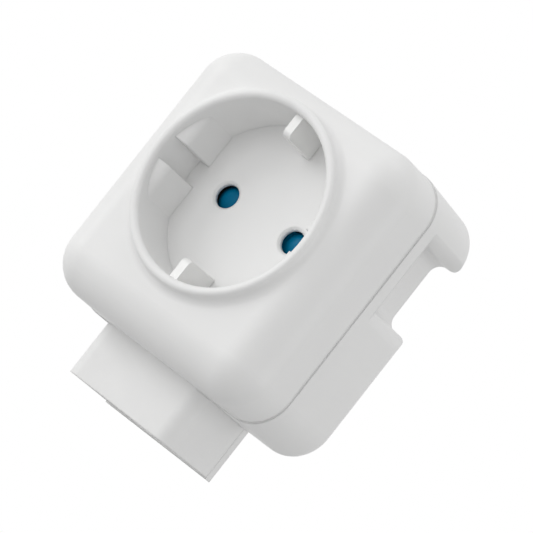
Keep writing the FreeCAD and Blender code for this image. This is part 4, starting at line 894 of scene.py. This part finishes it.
class ADAPTER_OT_small_parts(bpy.types.Operator):
    """Solder joints behind the board, chip resistors before it and the capacitors' tops"""

    bl_idname = "adapter.small_parts"
    bl_label = "Small parts"

    def execute(self, context):
        tree = copy_tree()
        front, back = low_corner("main_board")[1], high_corner("main_board")[1]
        joint = bmesh.new()
        turn(joint, [(0, 0), (0.95, 0), (0.8, 0.12), (0.45, 0.45), (0.3, 0.85), (0, 0.9)],
             (0, 0), 12, "Z")
        places = []
        for name, pairs in LEADS.items():
            low, high = low_corner(name), high_corner(name)
            places += [((low[0] + (high[0] - low[0]) * u, back, low[2] + (high[2] - low[2]) * v),
                        (-90, 0, 0)) for u, v in pairs]
        mesh = grow("solder_joints", tree, to_mesh(joint, "joint"), places, "crystal_can",
                    {"Unequal": 0.2})
        add_piece("solder_joints", mesh, "crystal_can", "casing")

        places = [((x, front, z), (0, turned, 0)) for x, turned, levels in RESISTORS for z in levels]
        for name, slot, reach, gap, height in (("resistor_bodies", "chip_black", 0.75, 0, 0.5),
                                               ("resistor_ends", "crystal_can", 1.0, 0.72, 0.54)):
            shape = bmesh.new()
            for side in (-1, 1) if gap else (1,):
                ends = sorted((side * reach, side * gap)) if gap else (-reach, reach)
                half = height * 0.9
                slab(shape, rectangle(ends, (-half, half)), -height, 0, "Y", 0.06, 2)
            mesh = grow(name, tree, to_mesh(shape, name), places, slot, {"Unequal": 0.0})
            add_piece(name, mesh, slot, "casing")

        low, high = low_corner("bulk_capacitors"), high_corner("bulk_capacitors")
        reach = (high[0] - low[0]) / 2
        shape = bmesh.new()
        for z in (low[2] + reach, high[2] - reach):
            turn(shape, [(0, low[1] - 0.06), (reach - 1.0, low[1] - 0.06), (reach - 0.75, low[1] - 0.2),
                         (reach - 0.5, low[1] - 0.06), (reach - 0.5, low[1] + 0.1), (0, low[1] + 0.1)],
                 (low[0] + reach, z))
        add_piece("capacitor_tops", to_mesh(shape, "capacitor_tops"), "sink_aluminium", "casing")
        return {"FINISHED"}


# Legs along a side, whether all four sides have them, how far they reach and where they leave the
# chip, in millimetres.
Legs = namedtuple("Legs", "count all_round reach rise")
LEGS = {
    "network_chip": Legs(14, True, 0.9, 0.5),
    "memory_chip": Legs(4, False, 0.9, 0.8),
    "ethernet_magnetics": Legs(8, False, 0.9, 1.2),
    "bridge_rectifier": Legs(2, False, 0.8, 1.2),
}


class ADAPTER_OT_legs(bpy.types.Operator):
    """Gull-wing legs of the chips and the network transformer"""

    bl_idname = "adapter.legs"
    bl_label = "Chip legs"

    def execute(self, context):
        tree = wire_tree()
        board = low_corner("main_board")[1]
        for node, (count, all_round, reach, rise) in LEGS.items():
            low, high = low_corner(node), high_corner(node)
            x, z = (low[0] + high[0]) / 2, (low[2] + high[2]) / 2
            half_x, half_z = (high[0] - low[0]) / 2, (high[2] - low[2]) / 2
            along = 2 * half_x * 0.86 / (count - 1) if count > 2 else half_x
            path = line_mesh([(0, -rise, -0.1), (0, -rise, reach * 0.45), (0, -0.1, reach * 0.55),
                              (0, -0.1, reach)])
            places = []
            for i in range(count):
                step = (i - (count - 1) / 2) * along
                places += [((x + step, board, z + half_z), (0, 0, 0)),
                           ((x + step, board, z - half_z), (0, 180, 0))]
                if all_round:
                    places += [((x + half_x, board, z + step), (0, 90, 0)),
                               ((x - half_x, board, z + step), (0, -90, 0))]
            wide = min(0.5, along * 0.5)
            mesh = grow(node + "_legs", tree, path, places, "crystal_can", {
                "Wide": wide * MM, "Thick": 0.18 * MM, "Edge": 0.03 * MM, "Bend": 0.15 * MM})
            add_piece(node + "_legs", mesh, "crystal_can", "casing")
        return {"FINISHED"}


# Stage

LAMP_SIDE = 0.6
LAMPS_AIM = (0, -0.03, 0)
LAMP_SPOTS = {"key": (-0.9, -0.7, 0.2), "top": (0.0, -0.2, 1.2), "front": (-0.25, -1.15, 0.2),
              "fill": (1.05, 0.3, 0.12)}
PAPER = (0.9, 0.9, 0.9, 1)
PAPER_BOUNCE = (0.6, 0.6, 0.6, 1)   # what the floor looks like to light that it throws on


def soft_lamp(name, power, spot):
    """A square lamp that shines from spot towards the adapter."""
    light = bpy.data.lights.new(name, "AREA")
    light.shape = "SQUARE"
    light.size = LAMP_SIDE
    light.energy = power
    lamp = bpy.data.objects.new(name, light)
    bpy.context.scene.collection.objects.link(lamp)
    lamp.location = spot
    lamp.rotation_mode = "QUATERNION"
    lamp.rotation_quaternion = (Vector(LAMPS_AIM) - Vector(spot)).to_track_quat("-Z", "Y")
    lamp.visible_camera = False


def white_for_camera(tree):
    """A value that is 1 for rays that look straight, by reflection or through glass."""
    path = tree.nodes.new("ShaderNodeLightPath")
    total = Wire(tree, path.outputs["Is Camera Ray"])
    for word in ("Is Glossy Ray", "Is Transmission Ray"):
        total = total.sum("MAXIMUM", total, Wire(tree, path.outputs[word]))
    return total


def make_world(daylight):
    world = bpy.data.worlds.new("studio")
    world.use_nodes = True
    tree = world.node_tree
    seen = white_for_camera(tree)
    background = tree.nodes["Background"]
    background.inputs["Color"].default_value = (1, 1, 1, 1)
    join(tree, seen * (1 - daylight) + daylight, background.inputs["Strength"])
    bpy.context.scene.world = world


def make_floor(height):
    """A wide pale floor: it keeps the shadow under the object and is pure white farther away."""
    half = 12.0
    mesh = bpy.data.meshes.new("floor")
    corners = rectangle((-half, half), (-half, half))
    mesh.from_pydata([(x, y, height) for x, y in corners], [], [(0, 1, 2, 3)])
    floor = bpy.data.objects.new("floor", mesh)
    bpy.context.scene.collection.objects.link(floor)
    paper = Finish("floor_paper", {"Roughness": 0.9})
    tree = paper.tree
    bounced = paper.node("ShaderNodeLightPath", output="Is Diffuse Ray")
    paper.finish(paper.mix(bounced, PAPER, PAPER_BOUNCE))
    far = paper.node("ShaderNodeVectorMath", {"operation": "LENGTH"}, {
        0: paper.place((1, 1, 0))}, "Value")
    white = paper.spread(far, 0.2, 0.8) * white_for_camera(tree)
    glow = paper.node("ShaderNodeEmission", {}, {"Color": (1, 1, 1, 1), "Strength": 1.0})
    below = paper.node("ShaderNodeNewGeometry", output="Backfacing")
    clear = paper.node("ShaderNodeBsdfTransparent")
    shown = paper.node("ShaderNodeMixShader", {}, {
        0: white, 1: Wire(tree, paper.shader.outputs[0]), 2: glow})
    one_sided = paper.node("ShaderNodeMixShader", {}, {0: below, 1: shown, 2: clear})
    tree.links.new(one_sided.socket, tree.nodes["Material Output"].inputs["Surface"])
    floor.data.materials.append(paper.material)


def make_camera(view):
    target = Vector(view.target)
    around = Matrix.Rotation(view.azimuth, 3, "Z")
    back = around @ Vector((0, -math.cos(view.elevation), math.sin(view.elevation)))
    data = bpy.data.cameras.new("camera")
    data.sensor_width = 36
    data.lens = view.lens
    data.clip_start = 0.05
    data.clip_end = 40
    camera = bpy.data.objects.new("camera", data)
    bpy.context.scene.collection.objects.link(camera)
    turn = (-back).to_track_quat("-Z", "Y").to_matrix() @ Matrix.Rotation(view.roll, 3, "Z")
    camera.matrix_world = Matrix.Translation(target + back * view.distance) @ turn.to_4x4()
    bpy.context.scene.camera = camera


class ADAPTER_OT_stage(bpy.types.Operator):
    """Makes the floor, the studio light and the photograph's camera"""

    bl_idname = "adapter.stage"
    bl_label = "Stage"

    def execute(self, context):
        view = context.scene.adapter_view
        context.scene.view_settings.view_transform = "Standard"
        make_world(view.daylight)
        make_floor(view.floor_height)
        for word, spot in LAMP_SPOTS.items():
            soft_lamp(word + "_lamp", getattr(view, word), spot)
        make_camera(view)
        return {"FINISHED"}


# Panel and registration

steps = [
    ADAPTER_OT_finishes,
    ADAPTER_OT_shutter,
    ADAPTER_OT_socket_earths,
    ADAPTER_OT_screws,
    ADAPTER_OT_seam,
    ADAPTER_OT_plug_earths,
    ADAPTER_OT_jack_wires,
    ADAPTER_OT_light_lens,
    ADAPTER_OT_choke,
    ADAPTER_OT_small_parts,
    ADAPTER_OT_legs,
    ADAPTER_OT_stage,
]


class ADAPTER_PT_panel(bpy.types.Panel):
    """Lists the adapter's steps, sizes and colours"""

    bl_idname = "ADAPTER_PT_panel"
    bl_label = "Powerline adapter"
    bl_space_type = "VIEW_3D"
    bl_region_type = "UI"
    bl_category = "Adapter"

    def draw(self, context):
        scene = context.scene
        for settings in (scene.adapter_colours, scene.adapter_sizes, scene.adapter_view):
            box = self.layout.box()
            for word in settings.__annotations__:
                box.prop(settings, word)
        for step in steps:
            self.layout.operator(step.bl_idname)


classes = [AdapterColours, AdapterSizes, AdapterView] + steps + [ADAPTER_PT_panel]


def register():
    for kind in classes:
        bpy.utils.register_class(kind)
    bpy.types.Scene.adapter_colours = PointerProperty(type=AdapterColours)
    bpy.types.Scene.adapter_sizes = PointerProperty(type=AdapterSizes)
    bpy.types.Scene.adapter_view = PointerProperty(type=AdapterView)


def unregister():
    del bpy.types.Scene.adapter_view
    del bpy.types.Scene.adapter_sizes
    del bpy.types.Scene.adapter_colours
    for kind in reversed(classes):
        bpy.utils.unregister_class(kind)


def main():
    register()
    for step in steps:
        group, word = step.bl_idname.split(".")
        getattr(getattr(bpy.ops, group), word)()


if __name__ == "__main__":
    main()
